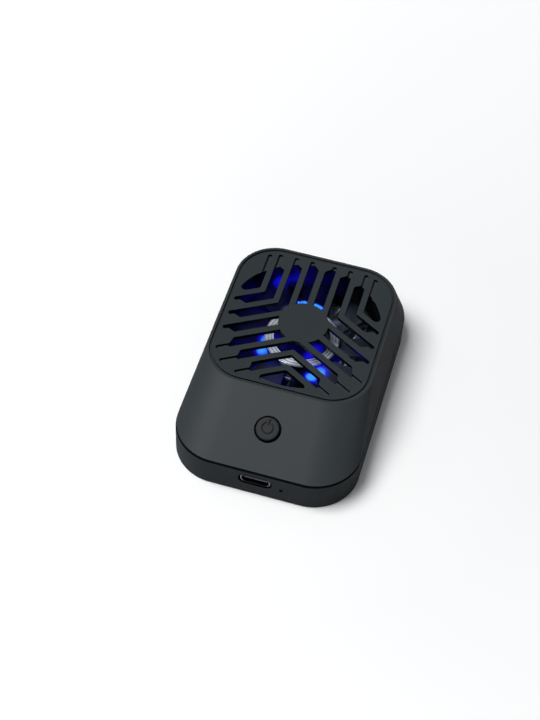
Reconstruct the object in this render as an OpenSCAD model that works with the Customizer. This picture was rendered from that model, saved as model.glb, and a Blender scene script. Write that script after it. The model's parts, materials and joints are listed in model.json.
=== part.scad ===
// Magnetic cooling fan: a shallow two-shell housing with a flat contact face below,
// a grille above the fan, and a sloping front with one push button and a charging socket.
// Millimetres. +Z points up from the contact face, the sloping front faces -Y.

/* [Base shell] */
// Width of the base along X
base_w = 55; // [53:0.5:62]
// Depth of the base along Y
base_d = 80.4; // [77:0.2:92]
// Corner radius of the base outline
base_corner_r = 14; // [11:0.5:17]
// Wall thickness of the base
base_wall = 1.8; // [1.5:0.1:2.1]
// Thickness of the base floor
floor_t = 0.8; // [0.6:0.1:1.1]
// Rounding of the lower outside edge
base_edge_r = 0.5; // [0.3:0.1:1]
// Height of the seam between the two shells
seam_z = 10.1; // [9.6:0.05:10.8]
// Height of the open groove along the seam
seam_gap = 0.45; // [0.1:0.05:0.6]
// How far the lip of the upper housing reaches down inside the base
lip_h = 1.2; // [0.8:0.1:1.6]
// Clearance between the lip and the base wall
lip_gap = 0.1; // [0.05:0.05:0.25]

/* [Upper housing] */
// Height of the whole object
total_h = 20.8; // [20:0.05:24]
// Width of the top face
top_w = 50; // [46:0.5:52]
// Depth of the top face
top_d = 53.6; // [51:0.2:57]
// Corner radius of the top face
top_corner_r = 12.5; // [9:0.5:15]
// Distance of the fan axis behind the middle of the base
fan_y = 8.8; // [6:0.2:9.6]
// Wall thickness of the upper housing
housing_wall = 1.6; // [1.3:0.1:2]
// Width of the rim around the grille plate
rim_w = 0.9; // [0.6:0.1:1.4]
// Rounding of the upper outside edge
rim_edge_r = 0.4; // [0.2:0.1:0.6]
// Thickness of the ledge that carries the grille plate
ledge_t = 1.2; // [0.8:0.1:1.6]
// Width of the ledge at the sides of the air duct
ledge_w = 0.5; // [0.3:0.1:1]
// Wall thickness of the round air duct
duct_wall = 1.2; // [0.8:0.1:1.4]

/* [Exhaust vents] */
// Number of slots in the back wall
vent_count = 9; // [5:2:9]
// Width of one slot
vent_w = 1.8; // [1.2:0.1:2.2]
// Height of one slot
vent_h = 3.2; // [2.4:0.1:3.4]
// Distance from slot to slot
vent_pitch = 3; // [2.8:0.1:3.2]
// Height of the lower end of the slots
vent_z = 4.9; // [3:0.1:5.2]

/* [Grille plate] */
// Thickness of the plate
plate_t = 0.9; // [0.7:0.1:1.6]
// How far the bars reach down below the plate, inside the air duct
bar_depth = 0.5; // [0.2:0.1:1]
// Width of the shadow groove around the plate's face
reveal_w = 0.6; // [0.2:0.05:0.8]
// Thickness of the plate's lip in that groove
plate_lip_t = 0.3; // [0.2:0.05:0.6]
// Gap between the plate and the rim
plate_gap = 0.15; // [0.05:0.05:0.3]
// Gap between the bars' lower part and the air duct
bar_gap = 0.3; // [0.1:0.05:0.5]
// Radius of the plain disc in the middle
disc_r = 7.5; // [5:0.5:9]
// Width of the three straight bars
centre_bar_w = 2; // [1.4:0.1:2.6]
// Width of a slot
slot_w = 3.15; // [2.4:0.05:3.6]
// Distance from slot to slot
slot_pitch = 5; // [4.6:0.1:5.4]
// Radius at which the near side of a slot ends
slot_near_r = 21.3; // [19:0.1:22]
// Radius at which the far side of a slot narrows to its groove
slot_far_r = 23.2; // [22:0.1:24]
// Width of the narrow groove at the end of a slot
groove_w = 1.3; // [0.9:0.1:1.6]
// Distance of a side slot's near edge from the line of the groove tips
side_end = 3.9; // [3:0.1:5]
// Length of the narrow groove at the end of a side slot
side_groove = 1.8; // [1:0.1:2.6]
// Distance of the groove tips from the plate's edge
groove_margin = 1.8; // [1.2:0.1:3]
// Distance of the open triangle at the front from the plate's edge
triangle_margin = 1.5; // [1.2:0.1:3]
// Rounding of the corners of the three open corner fields
triangle_tip_r = 1.3; // [0.4:0.1:1.6]
// Rounding of the bends of the bars
bend_r = 0.8; // [0.2:0.1:0.9]
// Rounding of the groove tips
groove_tip_r = 0.58; // [0.2:0.02:0.58]

/* [Push button] */
// Distance of the button's centre up the sloping front
button_s = 13.4; // [11.5:0.1:15]
// Radius of the button cap
button_r = 3.4; // [2.6:0.05:3.6]
// Gap around the cap in its hole
button_gap = 0.45; // [0.2:0.05:0.5]
// How far the cap stands proud of the front
button_proud = 1.2; // [0.4:0.1:1.4]
// Rounding of the cap's edge
button_edge_r = 0.35; // [0.1:0.05:0.6]
// Travel of the button
button_travel = 0.3; // [0.2:0.05:0.4]
// Width of the flange that keeps the cap in its hole
button_flange_w = 0.7; // [0.6:0.1:0.9]
// Thickness of that flange
button_flange_t = 0.8; // [0.5:0.1:1.1]
// Play between the flange and the wall
button_play = 0.1; // [0.05:0.05:0.2]
// Length of the stem under the flange
stem_len = 0.6; // [0.4:0.1:1]
// Radius of the switch plunger and of the stem
plunger_r = 1; // [0.8:0.1:1.2]
// Length of the switch plunger above the switch body
plunger_len = 0.6; // [0.5:0.1:0.8]
// Side of the square switch body
switch_w = 4.6; // [4:0.1:5]
// Height of the switch body
switch_h = 2; // [1.6:0.1:2.4]
// Width of the button board
button_board_w = 16.4; // [15.6:0.2:18]
// Depth of the button board
button_board_d = 7; // [6:0.2:8]
// Thickness of the button board
button_board_t = 0.8; // [0.6:0.1:1.2]
// Radius of the posts that carry the button board
button_post_r = 1.5; // [1.3:0.1:1.7]

/* [Charging socket and main board] */
// Height of the socket's centre
usb_z = 6.4; // [5:0.1:6.6]
// Width of the socket shell
usb_w = 8.94; // [8.94:0.01:9.2]
// Height of the socket shell
usb_h = 3.26; // [3.16:0.01:3.4]
// Sheet thickness of the socket shell
usb_t = 0.3; // [0.2:0.05:0.4]
// Length of the socket shell
usb_len = 7.35; // [6.5:0.05:8]
// Gap around the socket shell in the wall
usb_gap = 0.55; // [0.2:0.05:0.6]
// How far the socket mouth lies behind the wall's face
usb_recess = 0.3; // [0.1:0.1:0.8]
// Width of the tongue in the socket
tongue_w = 6.69; // [6.2:0.01:6.8]
// Thickness of the tongue in the socket
tongue_t = 0.7; // [0.6:0.05:0.8]
// Length of the tongue in the socket
tongue_len = 4.45; // [4:0.05:4.8]
// Length of the block at the back of the socket
usb_block_len = 1.6; // [1.2:0.1:2]
// Sideways place of the indicator light
led_x = 7.8; // [7:0.1:10]
// Height of the light pipe above the board
led_rise = 0.5; // [0.5:0.02:0.8]
// Radius of the indicator's light pipe
lens_r = 0.46; // [0.3:0.02:0.5]
// Gap around the light pipe
lens_gap = 0.05; // [0.03:0.01:0.1]
// Width of the main board
board_w = 30; // [28:0.5:31]
// Gap between the main board and the magnet ring
board_back_gap = 2.2; // [1:0.1:4]
// Thickness of the main board
board_t = 1; // [0.8:0.1:1.2]
// Gap between the main board and the front wall
board_gap = 0.4; // [0.2:0.1:0.8]
// Inset of the board screws from the board's sides
board_screw_side = 3.5; // [3:0.1:4]
// Inset of the board screws from the board's back edge
board_screw_back = 2.8; // [2.4:0.1:3.2]
// Width of the indicator light
led_w = 1.6; // [1.2:0.1:2]
// Depth of the indicator light
led_d = 0.8; // [0.6:0.1:1]
// Height of the indicator light above the board
led_h = 1.2; // [1:0.1:1.4]
// Distance of the indicator light from the board's front edge
led_gap = 0.3; // [0.1:0.1:0.5]
// Side of the square choke on the board
coil_w = 5; // [4:0.2:5.4]
// Height of the choke
coil_h = 2.2; // [1.6:0.1:3]
// Width of the control chip
chip_w = 5; // [4:0.2:6]
// Depth of the control chip
chip_d = 4; // [3:0.2:4.4]
// Height of the control chip
chip_h = 0.9; // [0.7:0.1:1.2]
// Gap between the socket and the control chip
chip_gap = 0.75; // [0.5:0.05:1.2]
// Radius of the capacitor
cap_r = 1.8; // [1.4:0.1:2]
// Height of the capacitor
cap_h = 3; // [2:0.1:3.2]
// Width of the plugs for the leads
plug_w = 4; // [3.4:0.1:4.6]
// Depth of the plugs
plug_d = 3; // [2.4:0.1:3.2]
// Height of the plugs
plug_h = 2.2; // [1.6:0.1:2.6]
// Distance from plug to plug
plug_pitch = 6; // [5:0.1:6.4]
// Inset of the plugs from the board's back edge
plug_inset = 2.4; // [2:0.1:3]

/* [Contact plate, magnets and cooling module] */
// Thickness of the soft contact pad
pad_t = 0.4; // [0.2:0.05:0.5]
// Gap around the contact plate in its opening
window_gap = 0.15; // [0.1:0.05:0.3]
// Width of the contact plate's flange on the floor
flange_w = 1.4; // [1:0.1:1.4]
// Thickness of that flange
flange_t = 0.8; // [0.6:0.1:1.1]
// Width of the rib between the contact plate and the magnets
rib_w = 0.8; // [0.6:0.1:1]
// Gap beside the rib
rib_gap = 0.25; // [0.15:0.05:0.3]
// Number of magnets in the ring
magnet_count = 18; // [12:1:24]
// Gap between neighbouring magnets in degrees
magnet_gap_deg = 2.5; // [1.5:0.5:4]
// Width of the magnet ring
magnet_w = 3.7; // [2.6:0.1:4]
// Thickness of the magnets
magnet_t = 1.8; // [1.2:0.1:1.9]
// Gap between the magnet ring and the base wall
magnet_gap = 0.3; // [0.2:0.05:0.4]
// Thickness of the steel ring on the magnets
shield_t = 0.4; // [0.2:0.1:0.5]
// Side of the square cooling module
module_w = 20; // [16:0.5:24]
// Thickness of one ceramic face of the module
ceramic_t = 0.5; // [0.4:0.05:0.6]
// Height of the pellets between the ceramic faces
pellet_h = 1.6; // [1.5:0.1:2]
// Number of pellets along one side
pellet_count = 6; // [4:1:8]
// Share of the pitch that a pellet fills
pellet_fill = 0.55; // [0.4:0.05:0.7]
// Gap between the module and the foam around it
foam_gap = 0.3; // [0.2:0.05:0.4]
// Width of the channel for the leads in the foam
foam_channel_w = 5; // [4.4:0.2:7]

/* [Heat sink] */
// Thickness of the heat sink's plate
sink_t = 1.2; // [1:0.1:1.5]
// Height of the fins
fin_h = 2.8; // [1.8:0.1:3.2]
// Thickness of a fin
fin_t = 0.6; // [0.4:0.1:0.9]
// Number of fins
fin_count = 15; // [9:2:17]
// Corner radius of the plate
sink_corner_r = 3; // [2:0.2:4]

/* [Fan] */
// Gap between the blade tips and the duct
tip_gap = 0.7; // [0.4:0.1:1.2]
// Number of blades
blade_count = 9; // [5:1:11]
// Height of the middle of the blades below the top of the hub
blade_drop = 1.4; // [1.35:0.05:1.6]
// Radius of the arch of a blade
blade_arch_r = 30; // [26:1:40]
// Slope of a blade at its middle
blade_pitch = 15; // [10:0.5:16]
// Thickness of a blade
blade_t = 0.7; // [0.5:0.05:0.8]
// Half length of a blade around the hub
blade_root_half = 2.9; // [2:0.1:3.2]
// Half length of a blade at its tip
blade_tip_half = 5.4; // [4:0.1:5.6]
// Angle by which the blades lean from the radial line
blade_lean = 20; // [0:1:30]
// Radius of the hub
hub_r = 11.4; // [10.8:0.1:11.6]
// Wall thickness of the hub
hub_wall = 1; // [0.7:0.1:1.2]
// Thickness of the hub's top
hub_cap_t = 0.5; // [0.4:0.1:0.8]
// Width of the bright ring on the hub
ring_w = 2.75; // [1.5:0.05:4]
// Thickness of the bright ring
ring_t = 0.35; // [0.2:0.05:0.5]
// Margin of the ring to the hub's edge
ring_margin = 0.15; // [0.1:0.05:0.5]
// Gap between turning and fixed faces
run_gap = 0.3; // [0.2:0.05:0.4]
// Radius of the shaft
shaft_r = 0.75; // [0.6:0.05:0.9]
// Running clearance of the shaft in its bearing
shaft_clear = 0.03; // [0.02:0.01:0.06]
// Outside radius of the bearing
bearing_r = 2.2; // [1.8:0.1:2.3]
// Length of the bearing
bearing_len = 2.4; // [2:0.1:2.5]
// Wall thickness of the bearing tube
tube_wall = 1; // [0.7:0.1:1.1]
// Thickness of the thrust pad under the shaft
thrust_t = 0.2; // [0.1:0.05:0.3]
// Thickness of the retaining washer on the shaft
clip_t = 0.25; // [0.15:0.05:0.3]
// Thickness of the fan frame's plate
frame_t = 0.8; // [0.7:0.1:1]
// Width of the frame's arms
arm_w = 3.2; // [2.4:0.1:4]
// Radius of the frame's legs
leg_r = 2.4; // [2:0.1:2.6]
// Gap between the legs and the duct
leg_gap = 0.6; // [0.4:0.1:1.6]
// Thickness of the round fan board
fan_board_t = 0.6; // [0.4:0.1:0.8]
// Margin of the fan board inside the motor plate
fan_board_margin = 0.2; // [0:0.1:0.6]
// Number of lights on the fan board
light_count = 3; // [3:1:8]
// Turn of the first light from the X axis
light_turn = 77; // [0:1:119]
// Height of a light
light_h = 0.5; // [0.3:0.1:0.5]
// Gap between the hub and the lights
light_gap = 0.5; // [0.3:0.1:0.8]
// Margin of the lights inside the fan board
light_margin = 0.4; // [0.2:0.1:1]
// Length of a light
light_len = 1.6; // [1:0.1:2]
// Width of a light
light_w = 0.8; // [0.5:0.1:1]
// Number of stator poles
pole_count = 4; // [3:1:4]
// Air gap between the stator and the rotor magnet
air_gap = 0.6; // [0.4:0.1:0.8]
// Height of the stator core
stator_h = 1.4; // [1.2:0.1:1.8]
// Radial thickness of a pole shoe
shoe_t = 1.1; // [0.8:0.1:1.4]
// Angle that a pole shoe covers
shoe_deg = 68; // [40:1:72]
// Width of a pole's neck
neck_w = 2; // [1.4:0.1:2.2]
// Thickness of the winding around a neck
winding_t = 0.4; // [0.3:0.05:0.55]
// Thickness of the magnet ring in the rotor
rotor_magnet_t = 1.4; // [1:0.1:1.5]
// Thickness of the steel cup in the rotor
yoke_t = 0.4; // [0.2:0.05:0.5]

/* [Screws] */
// Radius of all screw shanks
screw_r = 0.9; // [0.7:0.05:1]
// Radius of the screw heads
head_r = 1.7; // [1.4:0.1:1.8]
// Height of the screw heads
head_h = 0.9; // [0.7:0.1:1.1]
// Clearance of a shank in the hole that it passes
screw_clear = 0.2; // [0.1:0.05:0.3]
// Clearance of a shank in the hole that it bites into
bite_clear = 0.02; // [0.01:0.01:0.05]
// Radius of the bosses for the housing screws
boss_r = 2.4; // [2.2:0.1:2.6]
// Height of the seats of the housing screws above the floor
seat_h = 1; // [0.8:0.1:1.4]
// Inset of the front housing screws from the side walls
front_screw_x = 9; // [8:0.2:10]
// Inset of the front housing screws from the front wall
front_screw_y = 13; // [12:0.2:15]
// Distance of the back housing screws inside the fan's legs, along X
back_screw_x = 5.1; // [5:0.1:7]
// Inset of the back housing screws from the back wall
back_screw_y = 5.5; // [5.2:0.1:5.8]
// Length by which a housing screw bites into the upper housing
housing_bite = 3.6; // [2:0.2:4]
// Length by which a fan screw bites into the base
fan_bite = 2.4; // [1.6:0.1:2.6]
// Length by which a board screw bites into its boss
board_bite = 1.2; // [0.8:0.1:1.3]
// Length by which a button board screw bites into its post
button_bite = 2; // [1.4:0.1:2.6]

/* [Leads] */
// Radius of the cooling module's leads
module_lead_r = 0.45; // [0.3:0.05:0.5]
// Half distance between the cooling module's leads
module_lead_x = 1; // [0.8:0.1:1.2]
// Radius of the fan's and the button's leads
signal_lead_r = 0.4; // [0.3:0.05:0.45]

/* [Hidden] */

round_fn = 64;
loft_fn = 48;
bend_fn = 20;
arc_fn = 160;
edge_step = 30;
lead_sides = 8;
slab = 0.01;
past = 1;
$fn = round_fn;

// Loft of the upper housing
loft_z = total_h - rim_edge_r;
front_run = base_d / 2 + fan_y - top_d / 2;
slope_deg = atan((loft_z - seam_z) / front_run);
ledge_z = total_h - plate_t;
ceiling_z = ledge_z - ledge_t;
duct_r = top_w / 2 - rim_w - ledge_w;
groove_tip_x = top_w / 2 - rim_w - groove_margin;
boss_z = seam_z - lip_h;
lip_wall = base_wall / 2;

// Heights of the stack under the fan, from the floor up
module_z = floor_t + flange_t;
module_t = 2 * ceramic_t + pellet_h;
sink_z = module_z + module_t;
fin_z = sink_z + sink_t;
frame_z = fin_z + fin_h + run_gap;
fan_board_z = frame_z + frame_t;
light_z = fan_board_z + fan_board_t;
hub_z = light_z + run_gap;
stator_z = light_z + winding_t + run_gap;
yoke_top_z = stator_z + stator_h + winding_t + run_gap + yoke_t;
hub_top_z = yoke_top_z + hub_cap_t;
blade_mid_z = hub_top_z - blade_drop;
duct_z = fan_board_z + run_gap;

// Fan motor
rotor_r = duct_r - tip_gap;
tube_r = bearing_r + tube_wall;
hub_inside_r = hub_r - hub_wall;
yoke_inside_r = hub_inside_r - yoke_t;
stator_r = yoke_inside_r - rotor_magnet_t - air_gap;
tube_floor_t = frame_t / 3;
thrust_z = frame_z + tube_floor_t;
shaft_z = thrust_z + thrust_t + shaft_clear;
clip_z = shaft_z + run_gap;
bearing_z = clip_z + clip_t + run_gap / 2;
tube_top_z = bearing_z + bearing_len;
hub_boss_r = bearing_r;
clip_r = bearing_r - run_gap;
light_r = hub_r + light_gap + light_w / 2;
fan_board_r = light_r + light_w / 2 + light_margin;
motor_plate_r = fan_board_r + fan_board_margin;

// Corner legs that tie fan, heat sink and base together
leg_circle_r = duct_r + duct_wall + leg_gap + leg_r;
leg_xy = leg_circle_r / sqrt(2);
sink_half = leg_xy + leg_r;
fin_span = 2 * (leg_xy - leg_r - run_gap) - fin_t;
fin_pitch = fin_span / (fin_count - 1);

// Housing screws
screw_seat_z = floor_t + seat_h;
front_place = [base_w / 2 - front_screw_x, front_screw_y - base_d / 2];
back_place = [leg_xy - back_screw_x, base_d / 2 - back_screw_y];

// Magnet ring inside the walls, the legs and the back screws, and its neighbours from the outside in
back_boss_r = norm(back_place - [0, fan_y]) - boss_r;
magnet_out_r = min(base_w / 2 - base_wall, leg_circle_r - leg_r, back_boss_r) - magnet_gap;
magnet_in_r = magnet_out_r - magnet_w;
rib_r = magnet_in_r - rib_gap - rib_w;
flange_r = rib_r - rib_gap;
window_r = flange_r - flange_w;
foam_r = flange_r - rib_gap;

// Button and its board, measured from the sloping face
wall_in = -housing_wall;
flange_top = wall_in - button_play;
flange_bottom = flange_top - button_flange_t;
stem_bottom = flange_bottom - stem_len;
switch_top = stem_bottom - plunger_len;
switch_bottom = switch_top - switch_h;
button_board_bottom = switch_bottom - button_board_t;
button_hole_r = button_r + button_gap;
button_flange_r = button_hole_r + button_flange_w;
post_x = button_flange_r + button_post_r + run_gap;

// Main board
board_top_z = usb_z - usb_h / 2;
board_z = board_top_z - board_t;
board_front_y = -base_d / 2 + base_wall + board_gap;
board_back_y = fan_y - magnet_out_r - board_back_gap;
board_d = board_back_y - board_front_y;
board_screw_x = board_w / 2 - board_screw_side;
board_screw_y = board_back_y - board_screw_back;
usb_front_y = -base_d / 2 + usb_recess;
usb_back_y = usb_front_y + usb_len;
led_y = board_front_y + led_gap;
led_z = board_top_z + led_rise;

// Places on the main board, from the middle of its front edge
coil_place = [-10.6, 8];
chip_place = [1, usb_back_y - board_front_y + chip_gap + chip_d / 2];
cap_place = [9.5, 8.5];
plug_y = board_d - plug_inset;
plug_mid_z = board_top_z + plug_h / 2;
plug_back_y = board_front_y + plug_y + plug_d / 2;

// Routes of the leads between their first point and their plug: distance behind the plug, and height
module_lead_z = floor_t + magnet_t + shield_t + module_lead_r + lens_gap;
module_lead_bend = [[5.7, module_lead_z], [4.2, module_lead_z + 0.3], [2.7, plug_mid_z]];
fan_lead_z = frame_z + frame_t / 2;
fan_lead_bend = [[5.2, fan_lead_z], [3.7, 8.3], [3.1, 7.2], [2.3, plug_mid_z]];
// Room for the button's lead between its plug and the air duct
duct_room = fan_y - duct_r - duct_wall - run_gap - signal_lead_r - plug_back_y;
button_lead_bend = [[min(0.1, duct_room), 12], [min(1.7, duct_room), 9.4], [2.7, 7.8], [2.3, plug_mid_z]];

// Colours
shell_colour = [0.16, 0.17, 0.18];
plate_colour = [0.2, 0.21, 0.215];
metal_colour = [0.75, 0.76, 0.78];
steel_colour = [0.6, 0.61, 0.63];
copper_colour = [0.75, 0.42, 0.22];
board_colour = [0.08, 0.25, 0.15];
ceramic_colour = [0.93, 0.93, 0.9];
smoke_colour = [0.15, 0.16, 0.22];
dark_colour = [0.1, 0.1, 0.11];
pad_colour = [0.25, 0.26, 0.27];
lead_colour = [0.7, 0.7, 0.72];
lamp_colour = [0.85, 0.9, 1];
blue_colour = [0.2, 0.4, 1];

function lerp(a, b, t) = a + (b - a) * t;
function unit(v) = v / norm(v);
function polar(r, deg) = [r * cos(deg), r * sin(deg)];

// Share of the way from the seam to the top of the loft
function rise(z) = (z - seam_z) / (loft_z - seam_z);

// Rectangle with rounded corners about the origin
module rounded_rect(w, d, r) {
    square([w - 2 * r, d], center = true);
    square([w, d - 2 * r], center = true);
    for (x = [-1, 1], y = [-1, 1]) {
        translate([x * (w / 2 - r), y * (d / 2 - r)])
            circle(r);
    }
}

// Outline of the base, drawn in by an inset
module base_outline(inset = 0) {
    rounded_rect(base_w - 2 * inset, base_d - 2 * inset, base_corner_r - inset);
}

// Outline of the top face, drawn in by an inset
module top_outline(inset = 0) {
    translate([0, fan_y])
        rounded_rect(top_w - 2 * inset, top_d - 2 * inset, top_corner_r - inset);
}

// Thin slice at a height, used as a rung of a loft
module slice(z) {
    translate([0, 0, z])
        linear_extrude(slab)
            children();
}

// Places its children on the fan axis
module at_fan(z = 0) {
    translate([0, fan_y, z])
        children();
}

// Places its children at the four legs
module at_legs(z = 0) {
    for (x = [-1, 1], y = [-1, 1]) {
        at_fan(z)
            translate([x * leg_xy, y * leg_xy])
                children();
    }
}

// Places its children at the four housing screws
module at_housing_screws(z = 0) {
    for (p = [front_place, back_place], side = [-1, 1]) {
        translate([side * p[0], p[1], z])
            children();
    }
}

// Places its children on the two screws of the main board
module at_board_screws(z = 0) {
    for (x = [-1, 1]) {
        translate([x * board_screw_x, board_screw_y, z])
            children();
    }
}

// Frame on the sloping front at the button, with +Z out of the face
module on_slope() {
    translate([0, -base_d / 2 + button_s * cos(slope_deg), seam_z + button_s * sin(slope_deg)])
        rotate([slope_deg, 0, 0])
            children();
}

// Tube about the Z axis
module ring(r_out, r_in, h) {
    difference() {
        cylinder(h = h, r = r_out);
        translate([0, 0, -past])
            cylinder(h = h + 2 * past, r = r_in);
    }
}

// Slot-shaped profile with round ends, along X
module stadium(w, h) {
    square([w - h, h], center = true);
    for (x = [-1, 1]) {
        translate([x * (w - h) / 2, 0])
            circle(h / 2);
    }
}

// Screw with its head resting on z = 0 and its shank pointing down
module screw(length) {
    cylinder(h = head_h, r = head_r);
    translate([0, 0, -length])
        cylinder(h = length, r = screw_r);
}

// Outside of the base with its rounded lower edge
module base_body() {
    hull() {
        for (a = [0 : edge_step : 90]) {
            slice(base_edge_r * (1 - sin(a)))
                base_outline(base_edge_r * (1 - cos(a)), $fn = loft_fn);
        }
        slice(seam_z - seam_gap / 2 - slab)
            base_outline($fn = loft_fn);
    }
}

// Mouth of the charging socket in the front wall, with a wider lead-in
module socket_mouth() {
    translate([0, -base_d / 2 - past, usb_z])
        rotate([-90, 0, 0])
            linear_extrude(base_wall + 2 * past)
                stadium(usb_w + 2 * usb_gap, usb_h + 2 * usb_gap);
}

// Row of exhaust slots in the back wall
module exhaust_vents() {
    for (i = [0 : vent_count - 1]) {
        translate([(i - (vent_count - 1) / 2) * vent_pitch, base_d / 2 + past, vent_z + vent_h / 2])
            rotate([90, 90, 0])
                linear_extrude(base_wall + 2 * past)
                    stadium(vent_h, vent_w);
    }
}

module base_shell() {
    color(shell_colour)
        difference() {
            union() {
                difference() {
                    base_body();
                    translate([0, 0, floor_t])
                        linear_extrude(total_h)
                            base_outline(base_wall);
                    translate([0, 0, boss_z])
                        linear_extrude(total_h)
                            base_outline(lip_wall);
                }
                at_housing_screws()
                    cylinder(h = boss_z, r = boss_r);
                at_legs()
                    cylinder(h = sink_z, r = leg_r);
                at_board_screws()
                    cylinder(h = board_z, r = leg_r);
                at_fan()
                    ring(rib_r + rib_w, rib_r, floor_t + magnet_t);
            }
            at_fan(-past)
                cylinder(h = floor_t + 2 * past, r = window_r);
            at_housing_screws(-past) {
                cylinder(h = total_h, r = screw_r + screw_clear);
                cylinder(h = past + screw_seat_z, r = head_r + screw_clear);
            }
            at_legs(sink_z - fan_bite - bite_clear)
                cylinder(h = total_h, r = screw_r + bite_clear);
            at_board_screws(board_z - board_bite - bite_clear)
                cylinder(h = total_h, r = screw_r + bite_clear);
            socket_mouth();
            exhaust_vents();
            translate([led_x, -base_d / 2 - past, led_z])
                rotate([-90, 0, 0])
                    cylinder(h = base_wall + 2 * past, r = lens_r + lens_gap);
        }
}

// Outside of the upper housing: the base outline lofted to the smaller top face
module housing_body() {
    hull() {
        slice(seam_z)
            base_outline($fn = loft_fn);
        for (a = [0 : edge_step : 90]) {
            slice(loft_z + rim_edge_r * sin(a) - slab)
                top_outline(rim_edge_r * (1 - cos(a)), $fn = loft_fn);
        }
    }
}

// One rung of the hollow in the upper housing, a wall's thickness inside the loft
module hollow_slice(z) {
    front = -base_d / 2 + rise(z) * front_run + housing_wall / sin(slope_deg);
    back = lerp(base_d / 2, fan_y + top_d / 2, rise(z)) - housing_wall;
    half = lerp(base_w, top_w, rise(z)) / 2 - housing_wall;
    corner = lerp(base_corner_r, top_corner_r, rise(z)) - housing_wall;
    translate([0, (front + back) / 2])
        slice(z)
            rounded_rect(2 * half, back - front, corner, $fn = loft_fn);
}

module housing_hollow() {
    hull() {
        hollow_slice(seam_z);
        hollow_slice(ceiling_z - slab);
    }
}

// What stands on the inside of the upper housing
module housing_inner_forms() {
    at_fan(duct_z)
        cylinder(h = ledge_z - duct_z, r = duct_r + duct_wall);
    at_housing_screws(boss_z)
        cylinder(h = ceiling_z - boss_z, r = boss_r);
    on_slope()
        for (x = [-1, 1]) {
            translate([x * post_x, 0, switch_bottom])
                cylinder(h = -switch_bottom + wall_in / 2, r = button_post_r);
        }
}

module upper_housing() {
    color(shell_colour)
        difference() {
            union() {
                difference() {
                    housing_body();
                    housing_hollow();
                    translate([0, 0, seam_z - past])
                        linear_extrude(past + seam_gap / 2)
                            base_outline(-past);
                }
                intersection() {
                    housing_inner_forms();
                    union() {
                        housing_body();
                        linear_extrude(seam_z + slab)
                            base_outline(base_wall);
                    }
                }
                translate([0, 0, boss_z])
                    linear_extrude(lip_h + seam_gap)
                        difference() {
                            base_outline(lip_wall + lip_gap);
                            base_outline(base_wall);
                        }
            }
            at_fan(duct_z - past)
                cylinder(h = total_h, r = duct_r);
            translate([0, 0, ledge_z])
                linear_extrude(total_h)
                    top_outline(rim_w);
            at_housing_screws(boss_z - past)
                cylinder(h = past + housing_bite + bite_clear, r = screw_r + bite_clear);
            on_slope() {
                translate([0, 0, wall_in - past])
                    cylinder(h = housing_wall + 2 * past, r = button_hole_r);
                for (x = [-1, 1]) {
                    translate([x * post_x, 0, switch_bottom - past])
                        cylinder(h = past + button_bite + bite_clear, r = screw_r + bite_clear);
                }
            }
        }
}

// Where a line at an offset from the middle bar meets a circle about the fan axis
function reach(a, r) = sqrt(r * r - a * a);

// Inner end of a slot, on the border to the next third of the pattern
function sector_edge(a) = a * tan(30) - slab;

// Inner edge of the slot with the given number, counted from the middle bar
function slot_start(i) = centre_bar_w / 2 + i * slot_pitch;

// End of a slot's edge: on a circle, or sooner on a line along the plate's side
function edge_end(a, r, side_x) = min(reach(a, r), (side_x - a * sin(30)) / cos(30));

// Half of a bent slot: wide near the hub, a narrow groove on its far side at the end
module half_slot(i, at_side) {
    near = slot_start(i);
    far = near + slot_w;
    groove = far - groove_w;
    near_end = at_side ? edge_end(near, slot_near_r, groove_tip_x - side_end) : reach(near, slot_near_r);
    far_end = at_side ? edge_end(groove, slot_far_r, groove_tip_x - side_groove) : reach(groove, slot_far_r);
    polygon([
        [near, sector_edge(near)],
        [near, near_end],
        [groove, far_end],
        [groove, base_d],
        [far, base_d],
        [far, sector_edge(far)]
    ]);
}

// Wedge between two thirds of the pattern, outside all bent slots
module corner_wedge(deg) {
    tip = polar(slot_start(3) / sin(60), deg);
    polygon([tip, tip + polar(base_d, deg + 60), tip + polar(base_d, deg - 60)]);
}

module raw_slots() {
    for (third = [0 : 2], side = [0, 1], i = [0 : 2]) {
        rotate(120 * third)
            mirror([side, 0])
                half_slot(i, third == side + 1);
    }
    for (side = [0, 1]) {
        mirror([side, 0]) {
            round_corners()
                intersection() {
                    corner_wedge(30);
                    circle(slot_far_r, $fn = arc_fn);
                }
            translate([slot_start(3), slot_start(3) - slot_w])
                square([groove_w, base_d]);
        }
    }
}

// Corners of the open corner fields, rounder than the slots
module round_corners() {
    offset(r = triangle_tip_r, $fn = bend_fn)
        offset(delta = -triangle_tip_r)
            children();
}

// Open triangle at the front
module front_triangle() {
    base_y = rim_w + triangle_margin - top_d / 2;
    round_corners()
        intersection() {
            corner_wedge(270);
            translate([-base_w / 2, base_y])
                square([base_w, base_d]);
        }
}

// All openings of the grille, with rounded bends and groove tips
module grille_slots() {
    difference() {
        offset(r = groove_tip_r, $fn = bend_fn)
            offset(delta = -groove_tip_r)
                intersection() {
                    offset(r = -bend_r, $fn = bend_fn)
                        offset(delta = bend_r)
                            raw_slots();
                    rounded_rect(
                        top_w - 2 * (rim_w + groove_margin),
                        top_d - 2 * (rim_w + groove_margin),
                        top_corner_r - rim_w - groove_margin
                    );
                }
        circle(disc_r);
    }
}

module grille_plate() {
    color(plate_colour)
        difference() {
            union() {
                translate([0, 0, ledge_z])
                    linear_extrude(plate_lip_t)
                        top_outline(rim_w + plate_gap);
                translate([0, 0, ledge_z])
                    linear_extrude(plate_t)
                        top_outline(rim_w + plate_gap + reveal_w);
                translate([0, fan_y, ledge_z - bar_depth])
                    cylinder(h = bar_depth + plate_lip_t, r = duct_r - bar_gap);
            }
            translate([0, fan_y, ledge_z - bar_depth - past])
                linear_extrude(bar_depth + plate_t + 2 * past) {
                    grille_slots();
                    front_triangle();
                }
        }
}

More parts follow.
